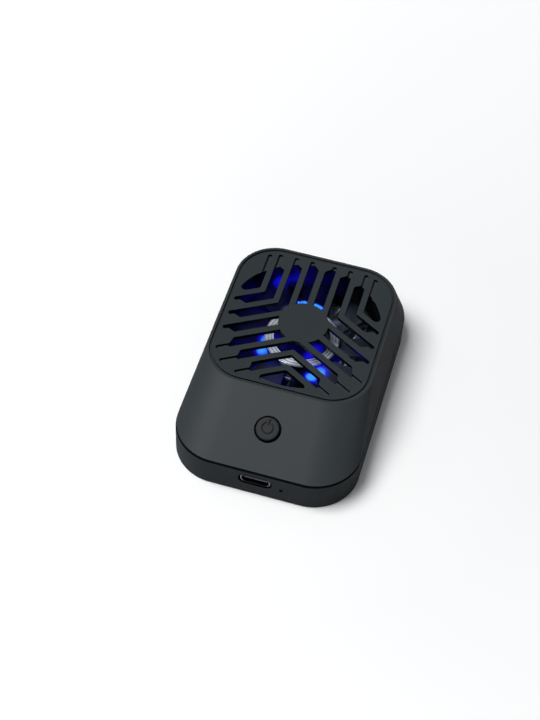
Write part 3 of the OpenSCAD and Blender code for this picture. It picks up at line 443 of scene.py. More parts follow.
class Graph:
    """Node tree of one material, with its principled shader."""

    def __init__(self, name):
        self.material = bpy.data.materials.new(name)
        self.material.use_nodes = True
        self.tree = self.material.node_tree
        self.shader = self.tree.nodes["Principled BSDF"]

    def node(self, kind, **settings):
        made = self.tree.nodes.new("ShaderNode" + kind)
        for name, value in settings.items():
            setattr(made, name, value)
        return made

    def link(self, output, target):
        self.tree.links.new(output, target)

    def set(self, **values):
        """Constant values of the shader, with _ for a space."""
        for name, value in values.items():
            self.shader.inputs[name.replace("_", " ")].default_value = value

    def noise(self, size_mm, detail=2.0):
        """Noise with features of about that size, fixed to the piece."""
        texture = self.node("TexNoise")
        texture.inputs["Scale"].default_value = 1 / (size_mm * MM)
        texture.inputs["Detail"].default_value = detail
        self.link(self.node("TexCoord").outputs["Object"], texture.inputs["Vector"])
        return texture.outputs["Fac"]

    def between(self, factor, low, high, start=NOISE_RANGE[0], end=NOISE_RANGE[1]):
        """Value that follows a factor between two limits."""
        spread = self.node("MapRange")
        for name, value in zip(("From Min", "From Max", "To Min", "To Max"), (start, end, low, high)):
            spread.inputs[name].default_value = value
        self.link(factor, spread.inputs["Value"])
        return spread.outputs["Result"]

    def colours(self, factor, low, high):
        """Colour that follows a factor between two colours."""
        ramp = self.node("ValToRGB")
        for element, place, colour in zip(ramp.color_ramp.elements, NOISE_RANGE, (low, high)):
            element.position = place
            element.color = (*colour, 1)
        self.link(factor, ramp.inputs["Fac"])
        return ramp.outputs["Color"]

    def bump(self, height, depth_mm):
        made = self.node("Bump")
        made.inputs["Distance"].default_value = depth_mm * MM
        self.link(height, made.inputs["Height"])
        self.link(made.outputs["Normal"], self.shader.inputs["Normal"])

    def spots(self, places):
        """Sum of soft spots: radius and angle about the fan axis, height, reach and strength of each."""
        position = self.node("NewGeometry").outputs["Position"]
        total = None
        for radius, deg, z, reach, strength in places:
            distance = self.node("VectorMath", operation="DISTANCE")
            distance.inputs[1].default_value = FAN @ Vector((*polar(radius, deg), z)) * MM
            self.link(position, distance.inputs[0])
            fall = self.between(distance.outputs["Value"], strength, 0.0, 0.0, reach * MM)
            fall.node.interpolation_type = "SMOOTHERSTEP"
            if total is not None:
                both = self.node("Math", operation="ADD")
                self.link(total, both.inputs[0])
                self.link(fall, both.inputs[1])
                fall = both.outputs["Value"]
            total = fall
        return total

    def blend(self, factor, colour):
        """Turns the base colour towards another one by a factor."""
        mix = self.node("MixRGB")
        mix.inputs["Color2"].default_value = (*colour, 1)
        self.link(factor, mix.inputs["Fac"])
        self.link(self.shader.inputs["Base Color"].links[0].from_socket, mix.inputs["Color1"])
        self.link(mix.outputs["Color"], self.shader.inputs["Base Color"])

    def glow(self, places):
        """Blue light of the lamps painted into a surface as a glow of its own, paler where it is strongest."""
        ramp = self.node("ValToRGB")
        for place, _ in GLOW_STEPS[1:-1]:
            ramp.color_ramp.elements.new(place)
        for element, (place, colour) in zip(ramp.color_ramp.elements, GLOW_STEPS):
            element.position = place
            element.color = (*colour, 1)
        patchy = self.node("Math", operation="MULTIPLY")
        self.link(self.spots(places), patchy.inputs[0])
        self.link(self.between(self.noise(GLOW_PATCH), *GLOW_SPREAD), patchy.inputs[1])
        self.link(patchy.outputs["Value"], ramp.inputs["Fac"])
        self.link(ramp.outputs["Color"], self.shader.inputs["Emission Color"])
        self.set(Emission_Strength=1.0)


def polar(radius, deg):
    return radius * math.cos(math.radians(deg)), radius * math.sin(math.radians(deg))


def scaled(colour, share):
    return tuple(c * share for c in colour)


def surface(name, colour, roughness, grain_mm, depth_mm, spread=0.12, patch_mm=9.0, **shader):
    """Common finish: colour that drifts in patches, fine grain, and roughness that follows the grain."""
    graph = Graph(name)
    patches = graph.noise(patch_mm, GRAIN_DETAIL)
    grain = graph.noise(grain_mm, GRAIN_DETAIL)
    drift = graph.colours(patches, scaled(colour, 1 - spread), scaled(colour, 1 + spread))
    gloss = graph.between(grain, roughness - ROUGH_SWING, roughness + ROUGH_SWING)
    graph.link(drift, graph.shader.inputs["Base Color"])
    graph.link(gloss, graph.shader.inputs["Roughness"])
    graph.bump(grain, depth_mm)
    graph.set(**shader)
    return graph


# Painted light of the lamps, a glow on surfaces that are no lamps: its patches and colours, and places as radius,
# degrees, height, reach and strength
GLOW_PATCH = 2.6
GLOW_SPREAD = (0.86, 1.06)
GLOW_STEPS = (
    (0.0, (0.0, 0.0, 0.0)),
    (0.35, (0.0008, 0.0005, 0.045)),
    (0.7, (0.005, 0.004, 0.62)),
    (1.0, (0.05, 0.32, 1.0)),
)
DUCT_GLOW = (
    (23.6, 105, 14.5, 18.0, 0.36),
    (23.6, 122, 13.0, 5.0, 0.46),
    (23.6, 109, 14.0, 4.0, 0.14),
    (23.6, 150, 13.5, 6.0, 0.34),
    (23.6, 205, 12.0, 14.0, 0.3),
    (23.6, 305, 12.0, 13.0, 0.3),
)
ROTOR_GLOW = (
    (18.0, 150, 12.5, 18.0, 0.2),
    (18.0, 92, 12.5, 9.0, 0.16),
    (17.0, 205, 12.5, 9.0, 0.24),
    (22.5, 122, 12.8, 5.0, 0.56),
    (11.2, 197, 13.2, 3.6, 0.8),
    (12.2, 214, 11.8, 4.6, 0.95),
    (12.5, 238, 12.8, 4.5, 0.36),
    (16.5, 258, 12.2, 8.5, 0.24),
    (4.2, 258, 13.6, 3.2, 0.28),
    (13.6, 295, 11.9, 3.8, 0.9),
    (13.2, 311, 13.0, 4.8, 0.92),
    (16.0, 303, 12.2, 6.0, 0.3),
    (11.5, 345, 12.5, 5.0, 0.28),
    (7.6, 196, 13.6, 3.4, 0.45),
    (6.8, 228, 13.6, 3.5, 0.4),
    (7.5, 300, 13.6, 4.5, 0.62),
    (6.0, 333, 13.6, 5.0, 0.62),
    (14.5, 91, 12.4, 1.5, 0.8),
    (14.3, 88, 12.5, 1.5, 0.8),
    (14.0, 85, 12.7, 1.5, 0.75),
    (13.8, 82, 12.8, 1.5, 0.7),
    (13.6, 79, 13.0, 1.5, 0.65),
    (15.2, 99, 11.5, 1.5, 0.8),
    (15.6, 102, 11.3, 1.5, 0.8),
    (16.0, 104, 11.1, 1.5, 0.8),
)
BOARD_GLOW = (
    (12.3, 190, 9.9, 4.5, 0.7),
    (12.3, 210, 9.9, 4.5, 0.85),
    (12.4, 299, 9.9, 4.5, 0.8),
    (12.3, 319, 9.9, 4.5, 0.85),
    (12.3, 350, 9.9, 4.0, 0.4),
    (12.3, 250, 9.9, 12.0, 0.24),
)
INNER_GLOW = (
    (20.0, 130, 6.5, 14.0, 0.2),
    (18.4, 105, 8.2, 1.6, 1.0),
    (20.7, 107, 5.4, 1.4, 1.0),
    (15.0, 220, 8.0, 10.0, 0.2),
    (12.5, 264, 7.0, 5.0, 0.1),
    (12.5, 300, 8.9, 4.0, 0.45),
)
TRIM_GLOW = (
    (8.6, 192, 13.95, 2.2, 0.4),
    (9.4, 219, 13.95, 3.0, 0.45),
    (8.6, 300, 13.95, 2.6, 0.5),
    (10.8, 306, 13.95, 2.2, 0.4),
)
BAR_GLOW = (
    (20.5, 157, 19.6, 6.0, 0.36),
    (17.0, 168, 19.6, 4.0, 0.33),
    (19.5, 342, 19.6, 6.0, 0.38),
    (10.0, 350, 19.6, 3.0, 0.35),
    (15.0, 302, 19.6, 5.0, 0.3),
)

# Painted light inside the fan: paler patches where more daylight falls in, and painted shine spots; each as
# radius, degrees, height, reach and strength
ROTOR_PAINTED_DAYLIGHT = (
    (15.0, 335, 12.2, 13.0, 1.0),
    (16.0, 25, 12.2, 12.0, 0.6),
    (17.5, 50, 12.2, 9.0, 0.5),
    (16.5, 255, 12.2, 9.0, 0.55),
)
ROTOR_PAINTED_SHINE = (
    (12.6, 52, 12.2, 2.6, 0.65),
    (12.4, 126, 12.5, 2.6, 0.5),
    (6.9, 18, 13.6, 3.4, 1.0),
    (11.2, 258, 13.3, 2.2, 0.9),
)
INNER_PAINTED_DAYLIGHT = (
    (16.0, 5, 5.5, 12.0, 1.0),
    (18.0, 36, 6.5, 11.0, 0.9),
    (18.0, 74, 5.5, 7.5, 0.6),
    (12.0, 256, 6.5, 7.0, 0.08),
)

# Satin plastic: a light coat gives all of its gloss
SATIN = {"Specular_IOR_Level": 0.0, "Coat_Weight": 0.2, "Coat_Roughness": 0.45}

shell_look = surface("shell plastic", (0.0358, 0.0418, 0.0463), 0.54, 0.2, 0.018, 0.05, 30.0, **SATIN)
grille_look = surface("grille plastic", (0.029, 0.0355, 0.0392), 0.56, 0.2, 0.02, 0.05, 30.0, **SATIN)
# The engraved sign is painted darker than the button, as painted shade in its recess.
sign_shade_look = surface("sign painted shade", (0.009, 0.0098, 0.0105), 0.55, 0.2, 0.006, Specular_IOR_Level=0.1)
# The socket's tongue is painted paler than its dark plastic, as painted light in the shaded mouth.
tongue_painted_light_look = surface("socket tongue painted light", (0.27, 0.27, 0.29), 0.45, 0.2, 0.003, Specular_IOR_Level=0.2)
# Near-black plastic painted where shade falls: in the seam, on the sides of the front holes and on the button's
# side.
painted_shade_look = surface("painted shade plastic", (0.0012, 0.0014, 0.0017), 0.6, 0.22, 0.004, Specular_IOR_Level=0.05)
# The bars' sides are near-black as painted shade, with the lamps' painted glow.
bar_side_shade_look = surface("bar sides painted shade", (0.0015, 0.0018, 0.0024), 0.5, 0.22, 0.004, Specular_IOR_Level=0.08)
bar_side_shade_look.glow(BAR_GLOW)
button_look = surface("button plastic", (0.0195, 0.0215, 0.023), 0.55, 0.22, 0.008, Specular_IOR_Level=0.14)
# The duct wall, of the housing's own plastic, is painted near-black as shade, with the lamps' painted glow.
duct_shade_look = surface("duct painted shade", (0.003, 0.0032, 0.004), 0.42, 0.22, 0.004, Specular_IOR_Level=0.2)
duct_shade_look.glow(DUCT_GLOW)
smoke_look = surface("smoke plastic", (0.0015, 0.0018, 0.003), 0.4, 0.3, 0.001, Specular_IOR_Level=0.03)
# The blades' colour turns paler at painted daylight patches and at painted shine spots.
smoke_look.blend(smoke_look.spots(ROTOR_PAINTED_DAYLIGHT), (0.05, 0.06, 0.086))
smoke_look.blend(smoke_look.spots(ROTOR_PAINTED_SHINE), (0.2, 0.24, 0.36))
smoke_look.glow(ROTOR_GLOW)
# Parts under the rotor: dark as painted shade (the fan frame is black plastic of its own), paler patches as
# painted daylight (the aluminium heat sink is pale metal of its own too), and the lamps' painted glow.
inner_shade_and_light_look = surface("inner parts painted shade and light", (0.004, 0.0045, 0.007), 0.5, 0.1, 0.003, Specular_IOR_Level=0.2)
inner_shade_and_light_look.blend(inner_shade_and_light_look.spots(INNER_PAINTED_DAYLIGHT), (0.68, 0.76, 0.92))
inner_shade_and_light_look.glow(INNER_GLOW)
lens_look = surface("dark lens", (0.0015, 0.0015, 0.002), 0.4, 0.12, 0.0005, Specular_IOR_Level=0.05)


def socket_finish():
    """Steel darkened as painted shade, with painted highlights at the two round ends of the mouth."""
    graph = surface("socket steel painted shade and shine", (0.016, 0.016, 0.018), 0.34, 0.12, 0.0005, Metallic=1.0)
    parts = graph.node("SeparateXYZ")
    side = graph.node("Math", operation="ABSOLUTE")
    graph.link(graph.node("NewGeometry").outputs["Position"], parts.inputs["Vector"])
    graph.link(parts.outputs["X"], side.inputs[0])
    # Painted highlights at the two round ends of the mouth.
    painted_shine = graph.between(side.outputs["Value"], 0.0, 1.0, SOCKET_PAINTED_SHINE[0] * MM, SOCKET_PAINTED_SHINE[1] * MM)
    graph.blend(painted_shine, (0.3, 0.3, 0.33))
    return graph


def turned_metal():
    """Polished turned ring with fine concentric lines painted pale and bluish in its colour, partly real turning
    and partly painted reflection: gloss is drawn out from the axis, in fine concentric lines.
    """
    graph = Graph("hub metal")
    ring_lines = graph.node("TexWave", wave_type="RINGS", rings_direction="Z")
    coords = graph.node("TexCoord")
    centre = graph.node("Mapping")
    centre.inputs["Location"].default_value = (0, -fan_y * MM, 0)
    ring_lines.inputs["Scale"].default_value = WAVE_LENGTH / (RING_LINE_MM * MM)
    graph.link(coords.outputs["Object"], centre.inputs["Vector"])
    graph.link(centre.outputs["Vector"], ring_lines.inputs["Vector"])
    graph.link(graph.colours(ring_lines.outputs["Fac"], (0.52, 0.6, 0.74), (0.9, 0.96, 1.0)),
               graph.shader.inputs["Base Color"])
    graph.link(graph.between(ring_lines.outputs["Fac"], 0.26, 0.32), graph.shader.inputs["Roughness"])
    around = graph.node("Tangent", direction_type="RADIAL", axis="Z")
    graph.link(around.outputs["Tangent"], graph.shader.inputs["Tangent"])
    graph.set(Metallic=0.55, Anisotropic=0.75, Anisotropic_Rotation=0.25)
    graph.glow(TRIM_GLOW)
    return graph


def fan_board_finish():
    """Dark round board whose cut edge shows as a thin pale line."""
    graph = surface("fan board", (0.006, 0.007, 0.016), 0.4, 0.4, 0.003, spread=0.3, patch_mm=1.4)
    edge_r = box_mm("fan_board")[1].x
    place = graph.node("NewGeometry").outputs["Position"]
    flat = graph.node("VectorMath", operation="MULTIPLY_ADD")
    flat.inputs[1].default_value = (1, 1, 0)
    flat.inputs[2].default_value = (0, -fan_y * MM, 0)
    length = graph.node("VectorMath", operation="LENGTH")
    graph.link(place, flat.inputs[0])
    graph.link(flat.outputs["Vector"], length.inputs[0])
    line_start, line_end = (edge_r - EDGE_LINE) * MM, (edge_r - EDGE_LINE / 2) * MM
    line = graph.between(length.outputs["Value"], 0.0, 1.0, line_start, line_end)
    graph.blend(line, (0.45, 0.45, 0.5))
    graph.glow(BOARD_GLOW)
    return graph


def lamp_finish():
    graph = Graph("lamp")
    graph.link(graph.colours(graph.noise(0.8), (0.02, 0.2, 1.0), (0.25, 0.65, 1.0)),
               graph.shader.inputs["Emission Color"])
    graph.set(Base_Color=(0.6, 0.75, 1.0, 1), Roughness=0.3, Emission_Strength=3.0)
    return graph


socket_look = socket_finish()
trim_look = turned_metal()
board_look = fan_board_finish()
lamp_look = lamp_finish()

looks = {
    "shell_plastic": shell_look,
    "grille_plastic": grille_look,
    "button_plastic": button_look,
    "smoke_plastic": smoke_look,
    "hub_metal": trim_look,
    "clear_plastic": surface("clear plastic", (0.5, 0.55, 0.6), 0.2, 0.3, 0.001),
    "nylon": surface("nylon", (0.78, 0.76, 0.68), 0.45, 0.2, 0.003),
    "black_plastic": surface("black plastic", (0.012, 0.012, 0.013), 0.42, 0.25, 0.006),
    "circuit_board": surface("circuit board", (0.012, 0.06, 0.03), 0.3, 0.4, 0.004, 0.3, 1.4),
    "screw_steel": surface("screw steel", (0.12, 0.12, 0.13), 0.38, 0.15, 0.003, Metallic=1.0),
    "bright_steel": surface("bright steel", (0.66, 0.66, 0.68), 0.24, 0.12, 0.001, Metallic=1.0),
    "plated_steel": surface("plated steel", (0.5, 0.5, 0.52), 0.3, 0.12, 0.001, Metallic=1.0),
    "silicone": surface("silicone", (0.034, 0.035, 0.037), 0.72, 0.12, 0.008),
    "aluminium": surface("aluminium", (0.62, 0.63, 0.65), 0.36, 0.1, 0.003, Metallic=1.0),
    "white_ceramic": surface("white ceramic", (0.82, 0.81, 0.77), 0.6, 0.15, 0.004),
    "pellet_metal": surface("pellet metal", (0.3, 0.3, 0.32), 0.45, 0.15, 0.006, Metallic=1.0),
    "foam": surface("foam", (0.012, 0.012, 0.012), 0.9, 0.35, 0.06),
    "magnet": surface("magnet", (0.45, 0.45, 0.47), 0.28, 0.15, 0.001, Metallic=1.0),
    "copper": surface("copper", (0.6, 0.25, 0.1), 0.35, 0.15, 0.01, Metallic=1.0),
    "bearing_bronze": surface("bearing bronze", (0.45, 0.28, 0.12), 0.45, 0.12, 0.004, Metallic=1.0),
    "lead_cover": surface("lead cover", (0.08, 0.08, 0.085), 0.5, 0.3, 0.003),
}


# Camera at the photograph's angle: the frame is 540 by 720, with the sensor's size along its height
FOCAL_PX = 1551.65
IMAGE_H = 720
SENSOR = 36.0
EYE = Vector((59.65, -276.92, 375.24))
AIM = Vector((-7.34, 0.04, 10.65))
ROLL = math.radians(3.33)
CLIP_START = 10.0

camera = bpy.data.objects.new("camera", bpy.data.cameras.new("camera"))
camera.data.sensor_width = SENSOR
camera.data.lens = FOCAL_PX / IMAGE_H * SENSOR
camera.data.clip_start = CLIP_START * MM
back = (EYE - AIM).normalized()
level = Vector((0, 0, 1)).cross(back).normalized()
across = math.cos(ROLL) * level + math.sin(ROLL) * back.cross(level)
camera_turn = Matrix((across, back.cross(across), back)).transposed()
camera.matrix_world = Matrix.Translation(EYE * MM) @ camera_turn.to_4x4()
scene.collection.objects.link(camera)
scene.camera = camera


# Lower shell

def in_seam(place, normal):
    """Inside the gap between the two shells, where no light reaches."""
    return abs(place.z - seam_z) < SEAM_GAP / 2 + TOUCH


def in_front_holes(place, normal):
    """Sides of the socket's and the lens's holes in the front wall."""
    depth = place.y + base_high.y
    from_lens = (place - (lens_low + lens_high) / 2).xz.length
    if from_lens < lens_high.x - lens_low.x:
        return TOUCH / 2 < depth < BASE_WALL
    return MOUTH_EDGE / 2 < depth < BASE_WALL and abs(normal.y) < SIDE_TILT and abs(place.x) < HOLES_HALF


def base_shell():
    lip_wall = BASE_WALL / 2
    rings = [base_ring(BASE_EDGE - rise, inset) for inset, rise in reversed(quarter(BASE_EDGE))]
    rings += [base_ring(base_high.z - SEAM_EDGE + rise, inset) for inset, rise in quarter(SEAM_EDGE)]
    rings += [base_ring(base_high.z, lip_wall), base_ring(lip_z, lip_wall)]
    rings += [base_ring(lip_z, BASE_WALL), base_ring(FLOOR_T, BASE_WALL)]
    obj = add_mesh("lower_shell", [(skin(rings), Matrix())])
    window_r = pad_high.x + WINDOW_GAP
    head_hole = HEAD_R + HEAD_CLEAR
    through = BASE_WALL + PAST
    socket_mid = (socket_low + socket_high) / 2
    socket_half = (socket_high - socket_mid).xz + Vector((SOCKET_GAP, SOCKET_GAP))
    lens_mid = (lens_low + lens_high) / 2
    lens_hole = lens_high.x - lens_mid.x + LENS_GAP
    cuts = [
        (mouth(window_r, window_r, FLOOR_T + PAST), at(0, fan_y, 0, BELOW)),
        (mouth(*socket_half, through), at(0, -base_high.y, socket_mid.z, FRONT)),
        (mouth(lens_hole, lens_hole, through, LENS_EDGE), at(lens_mid.x, -base_high.y, lens_mid.z, FRONT)),
    ]
    for low, high in solids_of("housing_screws"):
        middle = (low + high) / 2
        cuts.append((mouth(head_hole, head_hole, 2 * FLOOR_T), at(middle.x, middle.y, 0, BELOW)))
    for i in range(VENT_COUNT):
        x = (i - (VENT_COUNT - 1) / 2) * VENT_PITCH
        cuts.append((mouth(*VENT_HALF, through), at(x, base_high.y, VENT_Z, BACK)))
    combine(obj, cuts)
    dress(obj, "housing", shell_look.material, slot_of["base_shell"], "base_shell")
    # Painted shade in the seam and on the sides of the front holes.
    paint(obj, painted_shade_look, in_seam)
    paint(obj, painted_shade_look, in_front_holes)


# Upper housing: the base outline lofted to the top face, with the recess for the plate and the round duct

def on_duct(place, normal):
    from_axis = math.hypot(place.x, place.y - fan_y)
    return abs(from_axis - duct_r) < DUCT_WALL / 2 and abs(normal.z) < SIDE_TILT


def upper_housing():
    seam_top = seam_z + SEAM_GAP / 2
    lip_inset = BASE_WALL / 2 + LIP_GAP
    rings = [base_ring(lip_z, lip_inset), base_ring(seam_top, lip_inset)]
    rings += [loft_ring(seam_top + SEAM_EDGE - rise, inset) for inset, rise in reversed(quarter(SEAM_EDGE))]
    rings += rim_rings()
    obj = add_mesh("upper_shell", [(skin(rings), Matrix())])
    hollow = [base_ring(lip_z - PAST, BASE_WALL), base_ring(seam_z, BASE_WALL)]
    hollow += [hollow_ring(seam_z), hollow_ring(ceiling_z)]
    combine(obj, [(skin(hollow), Matrix())])
    combine(obj, [(rod(duct_r + DUCT_WALL, duct_z, ledge_z - LEDGE_T / 2), FAN)], "UNION")
    combine(obj, [(rod(duct_r, duct_z - PAST, total_h + PAST), FAN)])
    recess = [top_ring(ledge_z, RIM_W)]
    for inset, rise in quarter(RIM_INNER_EDGE):
        recess.append(top_ring(total_h - RIM_INNER_EDGE + rise, RIM_W - inset))
    recess.append(top_ring(total_h + PAST, RIM_W - RIM_INNER_EDGE))
    combine(obj, [(skin(recess), Matrix())])
    hole_r = BUTTON_R + BUTTON_GAP
    combine(obj, [(mouth(hole_r, hole_r, HOUSING_WALL + PAST), SLOPE)])
    dress(obj, "housing", shell_look.material, slot_of["upper_housing"], "upper_housing")
    # Painted shade and glow on the duct wall.
    paint(obj, duct_shade_look, on_duct)
    # Painted shade in the seam.
    paint(obj, painted_shade_look, in_seam)


# Grille plate: the solid's own openings, with softly rounded bars

def top_loops(node, z):
    """Edges of a node's flat top as closed loops of points in the plane."""
    bm = welded(node)
    flat = {face for face in bm.faces if all(abs(v.co.z / MM - z) < MERGE for v in face.verts)}
    rim = {edge for edge in bm.edges if len(flat.intersection(edge.link_faces)) == 1}
    loops = []
    while rim:
        edge = rim.pop()
        start, vert = edge.verts
        loop = [start]
        while vert != start:
            loop.append(vert)
            edge = next(e for e in vert.link_edges if e in rim)
            rim.remove(edge)
            vert = edge.other_vert(vert)
        loops.append([tuple(v.co.xy) for v in loop])
    bm.free()
    return loops


def grille():
    curve = bpy.data.curves.new("grille", "CURVE")
    curve.dimensions = "2D"
    curve.fill_mode = "BOTH"
    curve.extrude = ((plate_high.z - plate_low.z) / 2 - PLATE_EDGE) * MM
    curve.bevel_depth = PLATE_EDGE * MM
    curve.bevel_resolution = PLATE_EDGE_STEPS
    curve.offset = -PLATE_EDGE * MM
    for loop in top_loops("grille_plate", plate_high.z):
        spline = curve.splines.new("POLY")
        spline.use_cyclic_u = True
        spline.points.add(len(loop) - 1)
        for point, (x, y) in zip(spline.points, loop):
            point.co = (x, y, 0, 1)
    drawn = bpy.data.objects.new("grille_curve", curve)
    scene.collection.objects.link(drawn)
    mesh = evaluated_mesh(drawn)
    bpy.data.objects.remove(drawn)
    mesh.transform(Matrix.Translation((0, 0, (plate_low.z + plate_high.z) / 2 * MM)))
    bm = bmesh.new()
    bm.from_mesh(mesh)
    obj = add_object("grille", bm)
    bars_r, past_r, below_z = duct_r - BAR_GAP, 2 * top_half[1], plate_low.z - PAST
    border = [(bars_r, below_z), (past_r, below_z), (past_r, ledge_z), (bars_r, ledge_z)]
    combine(obj, [(lathe(border, closed=True), FAN)])
    lip_out, lip_top = RIM_W + PLATE_GAP, ledge_z + PLATE_LIP_T
    lip_in = lip_out + REVEAL_W + PLATE_EDGE
    lip = [(ledge_z, lip_out), (lip_top, lip_out), (lip_top, lip_in), (ledge_z, lip_in)]
    combine(obj, [(skin([top_ring(*level) for level in lip], closed=True), Matrix())], "UNION")
    dress(obj, "housing", grille_look.material, slot_of["grille_plate"], "grille_plate", sharp_deg=50)
    # Painted shade on the bars' sides.
    paint(obj, bar_side_shade_look, lambda place, normal: abs(normal.z) < SIDE_TILT)


# Push button with its engraved sign

def power_sign():
    """Cutters for a ring that is open at the top, and a bar in its opening."""
    steps = LATHE_STEPS // 2
    start, end = math.radians(90 + SIGN_GAP_DEG), math.radians(450 - SIGN_GAP_DEG)
    rings = []
    for i in range(steps + 1):
        a = lerp(start, end, i / steps)
        ring = []
        for r, z in ((-1, -1), (1, -1), (1, 1), (-1, 1)):
            radius = SIGN_R + r * SIGN_LINE / 2
            ring.append((radius * math.cos(a), radius * math.sin(a), z * SIGN_DEPTH))
        rings.append(ring)
    low, high = SIGN_BAR
    sign_at = SLOPE @ at(0, SIGN_UP, BUTTON_PROUD, Matrix.Rotation(SIGN_TURN, 4, "Z"))
    return [
        (skin(rings), sign_at),
        (block((SIGN_LINE, high - low, 2 * SIGN_DEPTH)), sign_at @ at(0, (low + high) / 2, 0)),
    ]


def in_sign(place, normal):
    place = TO_BUTTON @ place
    return place.xy.length < BUTTON_R - BUTTON_EDGE and place.z < BUTTON_PROUD - BUTTON_DISH - TOUCH


def on_button_side(place, normal):
    return (TO_BUTTON @ place).xy.length > BUTTON_R - TOUCH


def push_button():
    edge_z = BUTTON_PROUD - BUTTON_EDGE
    profile = [(0, STEM_BOTTOM), (STEM_R, STEM_BOTTOM), (STEM_R, FLANGE_BOTTOM)]
    profile += [(FLANGE_R, FLANGE_BOTTOM), (FLANGE_R, FLANGE_TOP), (BUTTON_R, FLANGE_TOP)]
    profile += [(BUTTON_R - inset, edge_z + rise) for inset, rise in quarter(BUTTON_EDGE)]
    profile += [(BUTTON_R * out, BUTTON_PROUD - BUTTON_DISH * drop) for out, drop in DISH_CURVE]
    obj = add_mesh("push_button", [(lathe(profile), SLOPE)])
    combine(obj, power_sign())
    dress(obj, "button", button_look.material, slot_of["power_button"], "power_button")
    # Painted shade in the engraved sign and on the button's side.
    paint(obj, sign_shade_look, in_sign)
    paint(obj, painted_shade_look, on_button_side)


# Charging socket: drawn shell with a rolled lip, and the tongue with its contacts

def socket():
    half_w = (socket_high.x - socket_low.x) / 2
    half_h = (socket_high.z - socket_low.z) / 2
    length = socket_high.y - socket_low.y
    middle = at(0, socket_low.y, (socket_low.z + socket_high.z) / 2, FRONT)

    def ring(inset, z):
        return outline(half_w - inset, half_h - inset, half_h - inset, 0, z)

    lip = [(inset, rise - SOCKET_LIP) for inset, rise in quarter(SOCKET_LIP)]
    inner = [(SOCKET_SHEET - inset, z) for inset, z in reversed(lip)]
    profile = [(0, -length), *lip, *inner, (SOCKET_SHEET, -length)]
    rings = [ring(inset, z) for inset, z in profile]
    obj = add_mesh("socket_shell", [(skin(rings, closed=True), middle)])
    dress(obj, "housing", socket_look.material, slot_of["usb_shell"], "usb_shell")

    block_front = BLOCK_LEN - length
    tongue_front = block_front + TONGUE_LEN
    edge = TONGUE_HALF[1] / 2
    tongue = [outline(*TONGUE_HALF, edge, 0, block_front - edge)]
    tongue += [outline(TONGUE_HALF[0] - inset, TONGUE_HALF[1] - inset, edge, 0, tongue_front - edge + rise)
               for inset, rise in quarter(edge / 2)]
    body = skin([ring(SOCKET_SHEET, -length), ring(SOCKET_SHEET, block_front)])
    obj = add_mesh("socket_tongue", [(body, middle)])
    combine(obj, [(skin(tongue), middle)], "UNION")
    dress(obj, "housing", tongue_painted_light_look.material, slot_of["usb_insert"], "usb_insert")

    contacts = []
    for i in range(CONTACT_COUNT):
        x = (i - (CONTACT_COUNT - 1) / 2) * CONTACT_PITCH
        for side in (-1, 1):
            place = middle @ at(x, side * TONGUE_HALF[1], tongue_front - CONTACT_SIZE[1] / 2 - 2 * edge)
            contacts.append((block((CONTACT_SIZE[0], CONTACT_SIZE[2], CONTACT_SIZE[1])), place))
    obj = add_mesh("socket_contacts", contacts)
    dress(obj, "housing", looks["bearing_bronze"].material, "bearing_bronze")


# Fan rotor: hub and arched blades, with the bright trim ring on the hub

def blade_point(lateral, along):
    """Point on a blade's arched sheet, by its share of the width and its distance from the root."""
    root_x = hub_r - BLADE_ROOT_IN
    half = lerp(*BLADE_HALF, min(along / (rotor_r - root_x), 1))
    y = lateral * half
    z = math.sqrt(BLADE_ARCH ** 2 - (y + BLADE_ARCH * math.sin(BLADE_PITCH)) ** 2)
    z -= BLADE_ARCH * math.cos(BLADE_PITCH)
    x_out = root_x + along * math.cos(BLADE_LEAN) - y * math.sin(BLADE_LEAN)
    y_out = along * math.sin(BLADE_LEAN) + y * math.cos(BLADE_LEAN)
    return Vector((x_out, y_out, z))


def blade_length(lateral):
    """Distance from the root at which a blade reaches the tip circle."""
    low, high = 0.0, 2 * rotor_r
    for _ in range(BISECTIONS):
        middle = (low + high) / 2
        if blade_point(lateral, middle).xy.length < rotor_r:
            low = middle
        else:
            high = middle
    return low


def blade_sheet():
    across_steps, along_steps = BLADE_STEPS
    points, faces = [], []
    for i in range(across_steps + 1):
        lateral = 2 * i / across_steps - 1
        length = blade_length(lateral)
        for j in range(along_steps + 1):
            points.append(blade_point(lateral, length * j / along_steps))
    row = along_steps + 1
    for i in range(across_steps):
        for j in range(along_steps):
            k = i * row + j
            faces.append((k, k + 1, k + row + 1, k + row))
    return points, faces


